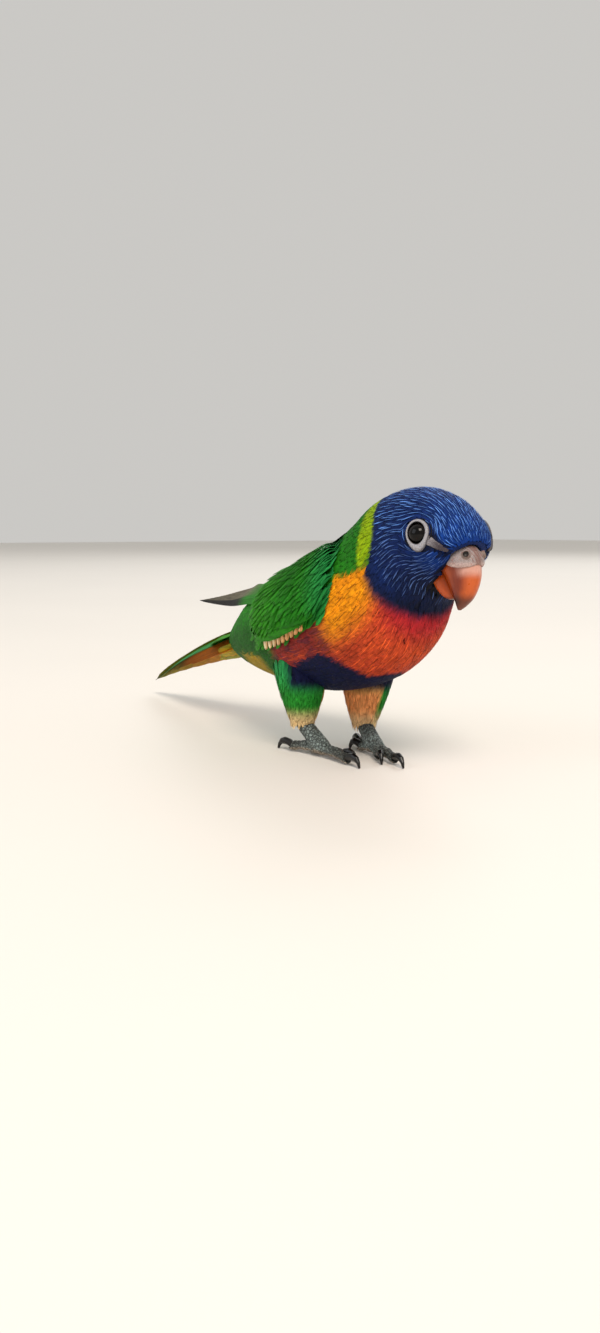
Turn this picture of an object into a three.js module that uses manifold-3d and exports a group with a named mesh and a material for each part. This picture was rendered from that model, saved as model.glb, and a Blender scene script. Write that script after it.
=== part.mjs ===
// A life-size rainbow lorikeet, a young bird that walks on a flat surface with its head bent down.
// Sizes are millimetres. +X runs from tail to head, +Y is the bird's left, +Z is up, and the
// claws and toe pads rest on Z = 0. The body is drawn with the tail's tip at X = 0, and the last
// lines shift the whole bird so that the origin is under the middle of its box.
import * as THREE from "three";
import { mergeVertices } from "three/addons/utils/BufferGeometryUtils.js";
import Module from "manifold-3d";

const wasm = await Module();
wasm.setup();

// Driving sizes.
const GAP = 0.3; // between touching nodes
const EYE_RADIUS = 3.7;
const EYE_CENTRE = [210.8, 12.3, 78.6];
const LID_RADIUS = 4.1; // of the ring of bare skin, at its middle
const LID_WIDTH = 1;
const VANE = 0.55; // thickness of a feather's vane
const CLAW_THICKNESS = 1.3;

// The trunk from the tail's root to the forehead, as rows of
// [back x, back z, belly x, belly z, half width, share of the height that lies above the widest level].
const TRUNK = [
  [84, 36.5, 86, 31.5, 6, 0.5],
  [90, 42.4, 91.5, 28.6, 9.8, 0.5],
  [99, 50, 101.5, 25.8, 14, 0.52],
  [112, 58.2, 115, 23.8, 18.4, 0.53],
  [128, 64.5, 132, 22.4, 22, 0.53],
  [144, 70.4, 150, 22, 23.8, 0.52],
  [157, 75.4, 166.2, 24.6, 24.2, 0.5],
  [167, 80, 182, 30.2, 23.4, 0.5],
  [175, 85.2, 194.6, 39.2, 21.4, 0.49],
  [180.6, 89.4, 200.6, 48.4, 19.4, 0.48],
  [186.5, 91.9, 202.6, 55, 17.9, 0.48],
  [194, 93.4, 205.2, 59, 17.5, 0.5],
  [202, 93.2, 206.6, 61.4, 17, 0.52],
  [210.5, 90.2, 209, 63.4, 15.4, 0.53],
  [217, 84.8, 211.6, 65.4, 13.6, 0.54],
  [220.8, 80.2, 214, 67.2, 10.8, 0.54],
  [222.4, 76.4, 216.6, 70, 7, 0.5],
];
const TRUNK_STEPS = 38;
const TRUNK_SIDES = 24;

// Where thin cuts part the trunk, each as a point on the back and a point on the breast.
const HEAD_CUT = { back: [181.5, 94], breast: [203.6, 56.6] };
const NECK_CUT = { back: [166, 82.5], breast: [204, 42] };

const V = (x, y, z) => new THREE.Vector3(x, y, z);

// A number that runs smoothly through a list of values as t goes from 0 to 1.
function through(values, t) {
  const curve = new THREE.SplineCurve(values.map((v, i) => new THREE.Vector2(i, v)));
  return curve.getPoint(t).y;
}

// A closed solid from rings with the same number of points. Its ends are closed by a centre point.
// On the sides in flipped, the four-cornered faces are split along their other diagonal.
function skinOver(rings, flipped = []) {
  const sides = rings[0].length;
  const points = rings.flat();
  const faces = [];
  for (let i = 0; i + 1 < rings.length; i++) {
    for (let j = 0; j < sides; j++) {
      const a = i * sides + j;
      const b = i * sides + ((j + 1) % sides);
      if (flipped.includes(j)) faces.push(a, b, b + sides, a, b + sides, a + sides);
      else faces.push(a, b, a + sides, b, b + sides, a + sides);
    }
  }
  for (const [ring, first] of [[rings[0], 0], [rings.at(-1), (rings.length - 1) * sides]]) {
    const middle = ring.reduce((sum, p) => sum.add(p), V(0, 0, 0)).divideScalar(sides);
    points.push(middle);
    for (let j = 0; j < sides; j++) {
      const a = first + j;
      const b = first + ((j + 1) % sides);
      faces.push(...(first ? [a, b, points.length - 1] : [b, a, points.length - 1]));
    }
  }
  return new THREE.BufferGeometry().setFromPoints(points).setIndex(faces);
}

// The geometry as a solid that manifold-3d can join and cut, turned to face outwards.
function solidOf(geometry) {
  const bare = geometry.clone();
  bare.deleteAttribute("normal");
  bare.deleteAttribute("uv");
  const merged = mergeVertices(bare, 1e-3);
  const positions = merged.attributes.position.array;
  const triangles = new Uint32Array(merged.index.array);
  const build = (t) => new wasm.Manifold(new wasm.Mesh({
    numProp: 3,
    vertProperties: positions,
    triVerts: t,
  }));
  const made = build(triangles);
  if (made.volume() > 0) return made;
  for (let i = 0; i < triangles.length; i += 3) {
    [triangles[i + 1], triangles[i + 2]] = [triangles[i + 2], triangles[i + 1]];
  }
  return build(triangles);
}

const loft = (rings, flipped) => solidOf(skinOver(rings, flipped));
const joined = (solids) => solids.reduce((a, b) => a.add(b));
const cutBy = (solid, tools) => tools.reduce((a, b) => a.subtract(b), solid);

// The largest closed surface of a solid, which drops loose scraps and sealed hollows.
const largest = (solid) => solid.decompose().sort((a, b) => b.volume() - a.volume())[0];

// A solid back as a three.js geometry.
function geometryOf(solid) {
  const mesh = solid.getMesh();
  return new THREE.BufferGeometry()
    .setAttribute("position", new THREE.BufferAttribute(mesh.vertProperties, 3))
    .setIndex(new THREE.BufferAttribute(mesh.triVerts, 1));
}

// A large block whose one face passes through a point, with the block on the side of its direction.
function halfSpace(point, direction) {
  const size = 600;
  const box = new THREE.BoxGeometry(size, size, size);
  const n = direction.clone().normalize();
  box.applyQuaternion(new THREE.Quaternion().setFromUnitVectors(V(0, 0, 1), n));
  const c = point.clone().addScaledVector(n, size / 2);
  box.translate(c.x, c.y, c.z);
  return solidOf(box);
}

// A cut across the trunk: its middle, and the direction towards the head.
function planeOf(cut) {
  const back = V(cut.back[0], 0, cut.back[1]);
  const breast = V(cut.breast[0], 0, cut.breast[1]);
  const down = breast.clone().sub(back).normalize();
  const forward = V(0, 1, 0).cross(down).negate();
  return { middle: back.add(breast).multiplyScalar(0.5), forward };
}

// A point of the trunk's surface. t runs from the tail's root to the forehead, angle from the
// back round the left side, and swell pushes the surface outwards.
function trunkPoint(t, angle, swell = 0) {
  const column = (i) => through(TRUNK.map((row) => row[i]), t);
  const back = V(column(0), 0, column(1));
  const belly = V(column(2), 0, column(3));
  const level = back.clone().lerp(belly, column(5));
  const reach = (Math.cos(angle) > 0 ? back : belly).clone().sub(level);
  reach.setLength(reach.length() + swell);
  return level
    .addScaledVector(reach, Math.abs(Math.cos(angle)))
    .add(V(0, (column(4) + swell) * Math.sin(angle), 0));
}

// The outward direction of the trunk's surface at a point.
function trunkNormal(t, angle) {
  const along = trunkPoint(t + 0.004, angle).sub(trunkPoint(t - 0.004, angle));
  const round = trunkPoint(t, angle + 0.02).sub(trunkPoint(t, angle - 0.02));
  return along.cross(round).normalize();
}

function trunk(swell = 0) {
  const rings = [];
  for (let i = 0; i <= TRUNK_STEPS; i++) {
    const ring = [];
    for (let j = 0; j < TRUNK_SIDES; j++) {
      ring.push(trunkPoint(i / TRUNK_STEPS, (2 * Math.PI * j) / TRUNK_SIDES, swell));
    }
    rings.push(ring);
  }
  return loft(rings);
}

// A tube along points, with a half width across and a half height up at each of them.
function tube(points, across, upward, sides = 12, steps = 12, side = V(0, 1, 0)) {
  const path = new THREE.CatmullRomCurve3(points);
  const rings = [];
  for (let i = 0; i <= steps; i++) {
    const t = i / steps;
    const centre = path.getPoint(t);
    const tangent = path.getTangent(t);
    const up = tangent.clone().cross(side).normalize();
    const right = up.clone().cross(tangent).normalize();
    const ring = [];
    for (let j = 0; j < sides; j++) {
      const angle = (2 * Math.PI * (j + 0.5)) / sides;
      const c = Math.cos(angle);
      const s = Math.sin(angle);
      ring.push(centre.clone()
        .addScaledVector(right, through(across, t) * c)
        .addScaledVector(up, through(upward, t) * s));
    }
    rings.push(ring);
  }
  return loft(rings);
}

// A feather: a thin closed blade along its middle line. Each station gives the line's point and
// the direction that the blade faces. Its outline swells from the quill and rounds at the tip.
function vane(points, facing, width, { thickness = VANE, round = 0.3, steps = 6, quill = 0.3 } = {}) {
  const path = new THREE.CatmullRomCurve3(points);
  const rings = [];
  for (let i = 0; i <= steps; i++) {
    const t = Math.min(i / steps, 0.985);
    const centre = path.getPoint(t);
    const tangent = path.getTangent(t);
    const face = facing[0].clone().lerp(facing[1], t);
    face.addScaledVector(tangent, -face.dot(tangent)).normalize();
    const side = face.clone().cross(tangent);
    const swell = quill + (1 - quill) * Math.min(1, t / 0.35);
    const tip = t > 1 - round ? Math.sqrt(1 - ((t - 1 + round) / round) ** 2) : 1;
    const half = (width / 2) * swell * Math.max(tip, 0.16);
    const thick = thickness / 2;
    const at = (a, b) => centre.clone().addScaledVector(side, a).addScaledVector(face, b);
    rings.push([at(-half, thick), at(half, thick), at(half, -thick), at(-half, -thick)]);
  }
  return loft(rings, [2]);
}

// The bill. Rows are [ridge x, ridge z, edge x, edge z, half width] from inside the head to the tip.
const UPPER_BILL = [
  [213.6, 78, 205.4, 71, 5.2],
  [218.4, 76, 208.8, 69.4, 5.7],
  [222, 72.4, 211.4, 66.9, 5.6],
  [223.5, 68, 213.2, 64.4, 5],
  [222.9, 63.4, 214.4, 61.4, 4.1],
  [220.9, 59.4, 215.2, 58.7, 2.9],
  [218.2, 56.9, 215.4, 56.9, 1.7],
  [216.1, 55.5, 215.2, 55.7, 0.6],
];
const LOWER_BILL = [
  [209.5, 70, 204.6, 66.5, 4.2],
  [211.6, 67.6, 206.6, 63.6, 4.5],
  [213.2, 64.8, 208.6, 61, 4.2],
  [214.2, 62.2, 210.6, 59.3, 3.4],
  [214.6, 60.3, 212.6, 58.6, 2.3],
  [214.6, 59.3, 213.8, 58.8, 1.1],
];

// A bill half, with a narrow rounded ridge on its outer side and a flatter inner side.
function billHalf(rows, swell = 0, steps = 11) {
  const sides = 16;
  const rings = [];
  for (let i = 0; i <= steps; i++) {
    const t = i / steps;
    const column = (k) => through(rows.map((row) => row[k]), t);
    const ridge = V(column(0), 0, column(1));
    const edge = V(column(2), 0, column(3));
    const level = ridge.clone().lerp(edge, 0.66);
    const ring = [];
    for (let j = 0; j < sides; j++) {
      const angle = (2 * Math.PI * j) / sides;
      const reach = (Math.cos(angle) > 0 ? ridge : edge).clone().sub(level);
      reach.setLength(reach.length() + swell);
      const bulge = Math.cos(angle) > 0 ? Math.abs(Math.sin(angle)) ** 1.15 : Math.abs(Math.sin(angle)) ** 0.7;
      ring.push(level.clone()
        .addScaledVector(reach, Math.abs(Math.cos(angle)))
        .add(V(0, Math.sign(Math.sin(angle)) * (column(4) + swell) * bulge, 0)));
    }
    rings.push(ring);
  }
  return loft(rings);
}

// The cere: a soft swollen band over the root of the upper bill, with a nostril on each side.
const CERE_ROWS = [
  [217.6, 76.4, 210.8, 70.8, 5.6],
  [221, 75, 212, 69.6, 6.3],
  [223, 72.8, 213.6, 69, 6.4],
  [223.7, 70.6, 215.8, 68.4, 5.8],
  [223.3, 69.2, 217.6, 68.2, 4.6],
];
const NOSTRIL = { at: [221.7, 3.5, 72.7], rim: 1.25, pit: [222.25, 4.2, 73], radius: 0.8 };

function sphere(centre, radius, across = 16, down = 12) {
  const ball = new THREE.SphereGeometry(radius, across, down);
  ball.rotateX(Math.PI / 2);
  ball.translate(...centre);
  return solidOf(ball);
}

const mirrored = ([x, y, z], side) => [x, y * side, z];

// The bare ring round the eye: a flat oval doughnut with a point below, set on the side of the head.
function lidRing(side) {
  const centre = V(...mirrored(EYE_CENTRE, side));
  const out = V(0.4, side, 0.3).normalize();
  const up = V(-0.3, 0, 1).addScaledVector(out, -V(-0.3, 0, 1).dot(out)).normalize();
  const fore = up.clone().cross(out).normalize();
  const rings = [];
  const steps = 16;
  const sides = 6;
  for (let i = 0; i < steps; i++) {
    const angle = (2 * Math.PI * i) / steps;
    const drop = 1 + 0.16 * Math.max(0, -Math.sin(angle)) ** 3;
    const way = fore.clone().multiplyScalar(Math.cos(angle) * 0.9)
      .addScaledVector(up, Math.sin(angle) * 1.05 * drop);
    const ring = [];
    for (let j = 0; j < sides; j++) {
      const turn = (2 * Math.PI * j) / sides;
      const reach = LID_RADIUS + Math.cos(turn) * LID_WIDTH * drop;
      ring.push(centre.clone().addScaledVector(way, reach)
        .addScaledVector(out, 2.6 - reach ** 2 / 30 + Math.sin(turn) * 0.6));
    }
    rings.push(ring);
  }
  const points = rings.flat();
  const faces = [];
  for (let i = 0; i < steps; i++) {
    for (let j = 0; j < sides; j++) {
      const a = i * sides + j;
      const b = i * sides + ((j + 1) % sides);
      const c = ((i + 1) % steps) * sides + j;
      const d = ((i + 1) % steps) * sides + ((j + 1) % sides);
      faces.push(a, b, c, b, d, c);
    }
  }
  return solidOf(new THREE.BufferGeometry().setFromPoints(points).setIndex(faces));
}

// Legs. Each has the ankle, the joint that the toes spread from, and how far the foot turns in.
// The legs as points down each of them, the foot's heading in degrees, and how far each toe
// spreads from that heading towards the outer side.
const LEGS = {
  l: {
    hip: [156, 11.5, 38], knee: [155, 11, 23], ankle: [156.5, 8.8, 10], foot: [167, 5.6, 4],
    turn: -18, spread: { 1: -154, 2: -11, 3: 5, 4: 183 },
  },
  r: {
    hip: [144, -11, 40], knee: [147.5, -12.6, 25], ankle: [148, -12.6, 11.5], foot: [158, -11.4, 4],
    turn: 4, spread: { 1: -150, 2: -11, 3: 5, 4: 168 },
  },
};
// Toes as [length, claw length].
const TOES = { 1: [8, 4.6], 2: [10.5, 5.6], 3: [17, 6.2], 4: [14.5, 5.8] };
const TOE_RADIUS = 1.95;

function thigh(leg, swell = 0) {
  const path = [V(...leg.hip), V(...leg.knee), V(...leg.ankle)];
  path.push(path[2].clone().addScaledVector(path[2].clone().sub(path[1]).normalize(), 1.5));
  const size = [10.4, 8.6, 4.4, 3.2].map((r) => r + swell);
  const fore = [12, 9.6, 4.8, 3.4].map((r) => r + swell);
  return tube(path, size, fore, 14, 9);
}

// A toe as a chain of pads, from the foot's joint to where the claw starts.
function toeFrame(leg, number, side) {
  const [length, claw] = TOES[number];
  const heading = THREE.MathUtils.degToRad(leg.turn + leg.spread[number] * side);
  const way = V(Math.cos(heading), Math.sin(heading), 0);
  const start = V(leg.foot[0], leg.foot[1], 2.6);
  const end = start.clone().addScaledVector(way, length).setZ(TOE_RADIUS * 0.8 + 0.35);
  return { way, start, end, length, claw };
}

function toe(leg, number, side) {
  const { way, start, end, length } = toeFrame(leg, number, side);
  const arch = Math.min(0.9, length * 0.06);
  const middle = start.clone().lerp(end, 0.5).add(V(0, 0, arch));
  const sideways = V(-way.y, way.x, 0);
  const pads = Math.round(length / 4.4);
  const sizes = [];
  for (let i = 0; i <= pads * 2; i++) {
    const taper = 1 - 0.16 * (i / (pads * 2));
    sizes.push(TOE_RADIUS * taper * (i % 2 ? 1.08 : 0.9));
  }
  const heights = sizes.map((r, i) => r * (i === 0 ? 1.15 : 1));
  return tube([start, middle, end], sizes, heights, 8, pads * 2, sideways);
}

// A claw: a curved horn from the toe's end down to the floor.
function claw(leg, number, side, swell = 0) {
  const { way, end, claw: length } = toeFrame(leg, number, side);
  const root = end.clone().addScaledVector(way, -1.4).add(V(0, 0, 0.35));
  const path = [
    root,
    end.clone().addScaledVector(way, length * 0.3).add(V(0, 0, 1.7)),
    end.clone().addScaledVector(way, length * 0.76).add(V(0, 0, 0.95)),
    end.clone().addScaledVector(way, length * 0.98).setZ(0.28),
  ];
  const sizes = [1, 1.02, 0.72, 0.3].map((k) => k * CLAW_THICKNESS + swell);
  const tall = [1, 1.1, 0.8, 0.34].map((k) => k * CLAW_THICKNESS + swell);
  return tube(path, sizes, tall, 7, 5, V(-way.y, way.x, 0));
}

function footBones(leg) {
  const ankle = V(...leg.ankle);
  const start = ankle.clone().add(V(-1.6, 0, 3.4));
  const joint = V(...leg.foot);
  const middle = ankle.clone().lerp(joint, 0.45).add(V(0, 0, -0.4));
  return tube([start, ankle, middle, joint, joint.clone().add(V(3, 0, -0.8))],
    [2.4, 2.9, 3, 3.6, 2.6], [2.4, 2.9, 2.9, 2.8, 1.9], 10, 8);
}

// The tail: six pairs of feathers in steps, the middle pair longest and uppermost.
const TAIL = {
  root: [95, 0, 39.4],
  pairs: 6,
  longest: 98.2,
  step: 9.4, // each pair is shorter than the last by about this
  slope: 19.4, // degrees below level
  width: 10.4,
  layer: 1.2, // from one pair down to the next
  spread: 0.95, // from one pair out to the next
  lean: 1.2, // degrees that each pair leans more than the last
  thickness: 0.5,
};

function tailFeather(pair, side) {
  const share = pair / (TAIL.pairs - 1);
  const length = TAIL.longest - TAIL.step * pair * (1 + 0.12 * share);
  const slope = THREE.MathUtils.degToRad(TAIL.slope);
  const along = V(-Math.cos(slope), 0, -Math.sin(slope));
  const over = V(-Math.sin(slope), 0, Math.cos(slope));
  const lean = THREE.MathUtils.degToRad(TAIL.lean * pair);
  const face = over.clone().multiplyScalar(Math.cos(lean)).add(V(0, side * Math.sin(lean), 0));
  const lateral = 0.7 + TAIL.spread * pair;
  const depth = TAIL.layer * (pair + (side < 0 ? 0.5 : 0));
  const point = (s) => {
    const far = (length * s) / TAIL.longest;
    return V(...TAIL.root).add(V(0, side * lateral, 0)).addScaledVector(along, length * s)
      .addScaledVector(over, 1.6 + 0.6 * Math.sin(Math.PI * far) - 0.5 * far - depth * (1 - 0.08 * far));
  };
  return vane(
    [point(0), point(0.33), point(0.67), point(1)],
    [face, face],
    TAIL.width - 1.4 * share,
    { thickness: TAIL.thickness, round: 0.5, steps: 5, quill: 0.5 },
  );
}

// A short feather over (level 1) or under (level -1) the tail's root, beside the middle line.
function tailCovert(index, side, level) {
  const slope = THREE.MathUtils.degToRad(TAIL.slope + (level > 0 ? 0.5 : -3));
  const along = V(-Math.cos(slope), side * 0.05 * index, -Math.sin(slope));
  const over = V(-Math.sin(slope), 0, Math.cos(slope));
  const lean = THREE.MathUtils.degToRad(6 * index);
  const face = over.clone().multiplyScalar(level * Math.cos(lean)).add(V(0, side * Math.sin(lean), 0));
  const height = level > 0 ? 3.1 - 0.75 * index : 0.75 * index - 7.2;
  const length = level > 0 ? 34 - 6 * index : 30 - 7 * index;
  const point = (s, rise) => V(...TAIL.root).add(V(0, side * (1.4 + 3.4 * index), 0))
    .addScaledVector(along, length * s).addScaledVector(over, height + (side < 0 ? -0.1 : 0.2) + level * rise);
  return vane([point(0, 0), point(0.5, 0.6), point(1, 0)], [face, face], 9, { round: 0.45, steps: 3, quill: 0.7 });
}

// Wings, folded against the trunk. A place on a wing is a share t of the trunk's length and an
// angle round it from the back, so that the arm and its feathers follow the body at a height.
const WING = {
  front: 0.47,
  rear: 0.275,
  middle: 1.12, // radians from the back's ridge
  half: 0.56,
  thickness: 2,
  rise: 0.8, // of its inner face over the trunk
  shingle: 0.26, // radians that each feather is turned, so that it lies over the one below
};

function onTrunk(t, angle, height, side) {
  const point = trunkPoint(t, angle).addScaledVector(trunkNormal(t, angle), height);
  return V(point.x, point.y * side, point.z);
}

// The arm under its small feathers: a lens that lies on the trunk.
function arm(side) {
  const across = 8;
  const along = 8;
  const outer = [];
  const inner = [];
  for (let i = 0; i <= along; i++) {
    const u = i / along;
    const t = WING.front + (WING.rear - WING.front) * u;
    const end = Math.sqrt(Math.max(0, 1 - (2 * u - 1) ** 4));
    for (let j = 0; j <= across; j++) {
      const v = (2 * j) / across - 1;
      const angle = WING.middle + (WING.half * end + 0.02) * v;
      const dome = Math.sqrt(Math.max(0, 1 - v ** 4)) * end;
      outer.push(onTrunk(t, angle, WING.rise + 0.3 + WING.thickness * dome, side));
      inner.push(onTrunk(t, angle, WING.rise, side));
    }
  }
  const row = across + 1;
  const count = outer.length;
  const faces = [];
  const quad = (a, b, c, d) => faces.push(a, b, c, b, d, c);
  for (let i = 0; i < along; i++) {
    for (let j = 0; j < across; j++) {
      const a = i * row + j;
      quad(a, a + 1, a + row, a + row + 1);
      quad(count + a + 1, count + a, count + a + row + 1, count + a + row);
    }
    const left = i * row;
    const right = left + across;
    quad(left, left + row, count + left, count + left + row);
    quad(right + row, right, count + right + row, count + right);
  }
  for (let j = 0; j < across; j++) {
    const last = along * row;
    quad(j + 1, j, count + j + 1, count + j);
    quad(last + j, last + j + 1, count + last + j, count + last + j + 1);
  }
  return solidOf(new THREE.BufferGeometry().setFromPoints([...outer, ...inner]).setIndex(faces));
}

// A feather that lies on the wing from one place to another, each as [t, angle, height].
function wingFeather(from, to, width, side, options = {}) {
  const points = [];
  for (let i = 0; i <= 3; i++) {
    const s = i / 3;
    const [t, angle, height] = from.map((v, k) => THREE.MathUtils.lerp(v, to[k], s));
    points.push(onTrunk(t, angle, height + 0.4 * Math.sin(Math.PI * s), side));
  }
  const face = (place) => {
    const n = trunkNormal(place[0], place[1] - WING.shingle);
    return V(n.x, n.y * side, n.z);
  };
  return vane(points, [face(from), face(to)], width, options);
}

// A long feather of the hand: it starts on the wing, then runs free to a point behind the body.
const HAND = { count: 4, knuckle: [118, 14.5, 55.6], through: [92, 8.6, 52.4], tip: [52, 1.7, 49.2], step: 8.5 };
function handFeather(index, side) {
  const share = index / (HAND.count - 1); // 0 is the shortest, which lies innermost and highest
  const short = HAND.step * (HAND.count - 1 - index);
  const at = ([x, y, z], back, rise, out) => V(x + back, side * (y + out), z + rise);
  const out = 0.75 * index;
  const start = onTrunk(0.34, 1.2, 1.6 + 0.3 * index, side);
  const points = [
    start,
    at(HAND.knuckle, short * 0.1, 1.4 - 2.4 * share, out * 0.9),
    at(HAND.through, short * 0.5, 2.2 - 3.2 * share, out * 0.7),
    at(HAND.tip, short, 2 * (1 - share), out * 0.3 + short * 0.1),
  ];
  const face = V(0.1, side * 0.86, 0.5).normalize();
  return vane(points, [face, V(0, side * 0.95, 0.3).normalize()], 6.4 - 1.2 * share,
    { round: 0.5, steps: 5, quill: 0.7 });
}

function wingFeathers(side) {
  const made = [];
  for (let i = 0; i < HAND.count; i++) made.push(handFeather(i, side));
  const row = (count, make) => {
    for (let i = 0; i < count; i++) made.push(make(i / (count - 1), i));
  };
  // The long feathers of the forearm, from the lowest to those over the rump.
  row(6, (s, i) => wingFeather([0.36, 1.6 - 0.86 * s, 1.6],
    [0.262 - 0.02 * Math.sin(2.6 * s), 1.62 - 1.12 * s, 2.3 + 0.15 * i], 9.8, side, { steps: 3 }));
  // Greater, middle and lesser coverts in tiers.
  row(5, (s) => wingFeather([0.4, 1.56 - 0.86 * s, 1.6], [0.305 - 0.01 * s, 1.58 - 0.96 * s, 3.7], 9.4, side,
    { steps: 3 }));
  row(5, (s) => wingFeather([0.43, 1.52 - 0.8 * s, 1.6], [0.35, 1.55 - 0.9 * s, 4.1], 9.4, side,
    { steps: 3, round: 0.45 }));
  row(4, (s) => wingFeather([0.455, 1.46 - 0.7 * s, 1.4], [0.395, 1.5 - 0.8 * s, 4.1], 10, side,
    { steps: 3, round: 0.5 }));
  return made;
}

// Materials, by what the surface is.
const finish = (color, roughness = 0.8) => new THREE.MeshStandardMaterial({ color, roughness, metalness: 0 });
const MATERIALS = {
  head: finish("#1d3a8f"),
  neck: finish("#86b81a"),
  torso: finish("#d24a1e"),
  wing: finish("#2f8f2a"),
  tail: finish("#3f8a2c"),
  thigh: finish("#3b8f3a"),
  foot: finish("#7f8784", 0.6),
  claw: finish("#1c1a1a", 0.35),
  cere: finish("#b7a9a4", 0.5),
  bill: finish("#c8501c", 0.3),
  eye: finish("#0d0b0b", 0.05),
};

const bird = new THREE.Group();
function place(name, solid, material) {
  const welded = largest(solidOf(geometryOf(largest(solid))));
  const mesh = new THREE.Mesh(geometryOf(welded), MATERIALS[material]);
  mesh.name = name;
  bird.add(mesh);
}

const floorBlock = halfSpace(V(0, 0, 0), V(0, 0, -1));
const whole = trunk();
const swollen = trunk(GAP);
const headPlane = planeOf(HEAD_CUT);
const neckPlane = planeOf(NECK_CUT);
const ahead = (plane, back = 0) => halfSpace(plane.middle.clone().addScaledVector(plane.forward, back), plane.forward);
const behind = (plane, back = 0) => halfSpace(
  plane.middle.clone().addScaledVector(plane.forward, back), plane.forward.clone().negate());

const eyes = { l: 1, r: -1 };
const upperBill = billHalf(UPPER_BILL);
const upperBillSwollen = billHalf(UPPER_BILL, GAP);
const lowerBillSwollen = billHalf(LOWER_BILL, GAP);
const cereBand = billHalf(CERE_ROWS, 0, 5);
const cereSwollen = billHalf(CERE_ROWS, GAP, 5);

// Head, with lids, sockets and room for the bill.
const lids = Object.values(eyes).map((side) => lidRing(side));
const sockets = Object.values(eyes).map((side) => sphere(mirrored(EYE_CENTRE, side), EYE_RADIUS + GAP, 14, 10));
const headBlock = joined([whole.subtract(behind(headPlane)), ...lids]);
place("head", cutBy(headBlock, [...sockets, upperBillSwollen, lowerBillSwollen, cereSwollen]), "head");
for (const [letter, side] of Object.entries(eyes)) {
  place(`eye_${letter}`, sphere(mirrored(EYE_CENTRE, side), EYE_RADIUS, 14, 10), "eye");
}

const nostrils = [1, -1].map((side) => sphere(mirrored(NOSTRIL.pit, side), NOSTRIL.radius, 10, 8));
const rims = [1, -1].map((side) => sphere(mirrored(NOSTRIL.at, side), NOSTRIL.rim, 10, 6));
place("cere", cutBy(joined([cereBand, ...rims]), [upperBillSwollen, ...nostrils]), "cere");
place("bill_upper", upperBill, "bill");
place("bill_lower", cutBy(billHalf(LOWER_BILL), [upperBillSwollen, cereSwollen]), "bill");

place("neck", cutBy(whole, [ahead(headPlane, -GAP), behind(neckPlane)]), "neck");

// Legs and feet.
const thighs = {};
const thighsSwollen = {};
for (const [letter, leg] of Object.entries(LEGS)) {
  const side = letter === "l" ? 1 : -1;
  thighs[letter] = thigh(leg);
  thighsSwollen[letter] = thigh(leg, GAP);
  const shin = footBones(leg);
  const toes = Object.keys(TOES).map((n) => toe(leg, n, side));
  const claws = Object.keys(TOES).map((n) => claw(leg, n, side, GAP));
  const foot = cutBy(joined([shin, ...toes]), [...claws, floorBlock]);
  place(`thigh_${letter}`, thighs[letter], "thigh");
  place(`foot_${letter}`, foot.subtract(thighsSwollen[letter]), "foot");
  for (const n of Object.keys(TOES)) {
    place(`claw_${letter}_${n}`, cutBy(claw(leg, n, side), [floorBlock]), "claw");
  }
}

// Tail and torso.
const tailCore = tube([V(98, 0, 39.4), V(90, 0, 36.9), V(83, 0, 34.7)], [8, 7.4, 5.6], [6, 5.2, 4.2], 12, 3);
const tailFeathers = [];
for (const side of [1, -1]) {
  for (let pair = 0; pair < TAIL.pairs; pair++) tailFeathers.push(tailFeather(pair, side));
  for (const level of [1, -1]) {
    for (let index = 0; index < 2; index++) tailFeathers.push(tailCovert(index, side, level));
  }
}
const tail = joined([tailCore, ...tailFeathers]);
place("tail", tail.subtract(swollen), "tail");
place("torso", cutBy(whole, [ahead(neckPlane, -GAP), thighsSwollen.l, thighsSwollen.r]), "torso");

// Wings.
for (const [letter, side] of Object.entries(eyes)) {
  place(`wing_${letter}`, joined([arm(side), ...wingFeathers(side)]).subtract(swollen), "wing");
}

// The origin goes under the middle of the whole bird's box.
const box = new THREE.Box3().setFromObject(bird);
const middle = box.getCenter(V(0, 0, 0));
bird.position.set(-middle.x, -middle.y, -box.min.z);

export default bird;
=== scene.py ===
"""Looks of a still, life-size rainbow lorikeet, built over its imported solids.

Lengths inside the script are millimetres in the bird's own frame: the tail's tip near X 0, the bill
towards +X, the bird's left towards +Y and the floor at Z 0. Anchor turns them into the part's frame.
A place on the body is a share t of the trunk's length, from the tail's root to the forehead, and an
angle round it from the back's ridge, growing towards the left side.
"""

from __future__ import annotations

import logging
import math
from collections import defaultdict
from dataclasses import dataclass, field, replace
from enum import Enum
from typing import Callable, Sequence

import bmesh
import bpy
import numpy as np
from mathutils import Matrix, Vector
from mathutils.bvhtree import BVHTree
from mathutils.kdtree import KDTree

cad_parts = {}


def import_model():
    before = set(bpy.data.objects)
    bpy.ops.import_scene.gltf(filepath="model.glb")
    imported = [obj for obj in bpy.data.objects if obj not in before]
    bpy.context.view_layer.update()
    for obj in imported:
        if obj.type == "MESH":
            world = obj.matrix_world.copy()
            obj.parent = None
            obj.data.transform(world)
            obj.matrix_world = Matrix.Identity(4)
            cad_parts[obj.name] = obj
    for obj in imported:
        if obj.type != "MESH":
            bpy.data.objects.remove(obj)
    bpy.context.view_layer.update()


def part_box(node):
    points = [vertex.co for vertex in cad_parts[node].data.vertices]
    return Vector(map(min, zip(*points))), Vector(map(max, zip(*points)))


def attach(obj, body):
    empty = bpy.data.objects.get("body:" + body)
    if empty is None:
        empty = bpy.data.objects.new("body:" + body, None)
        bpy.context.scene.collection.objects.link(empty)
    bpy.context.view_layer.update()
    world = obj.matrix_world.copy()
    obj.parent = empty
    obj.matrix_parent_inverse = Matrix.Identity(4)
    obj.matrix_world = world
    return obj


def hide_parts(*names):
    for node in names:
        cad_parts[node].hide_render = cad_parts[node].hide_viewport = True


LOG = logging.getLogger("lorikeet")
MM = 0.001
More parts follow.
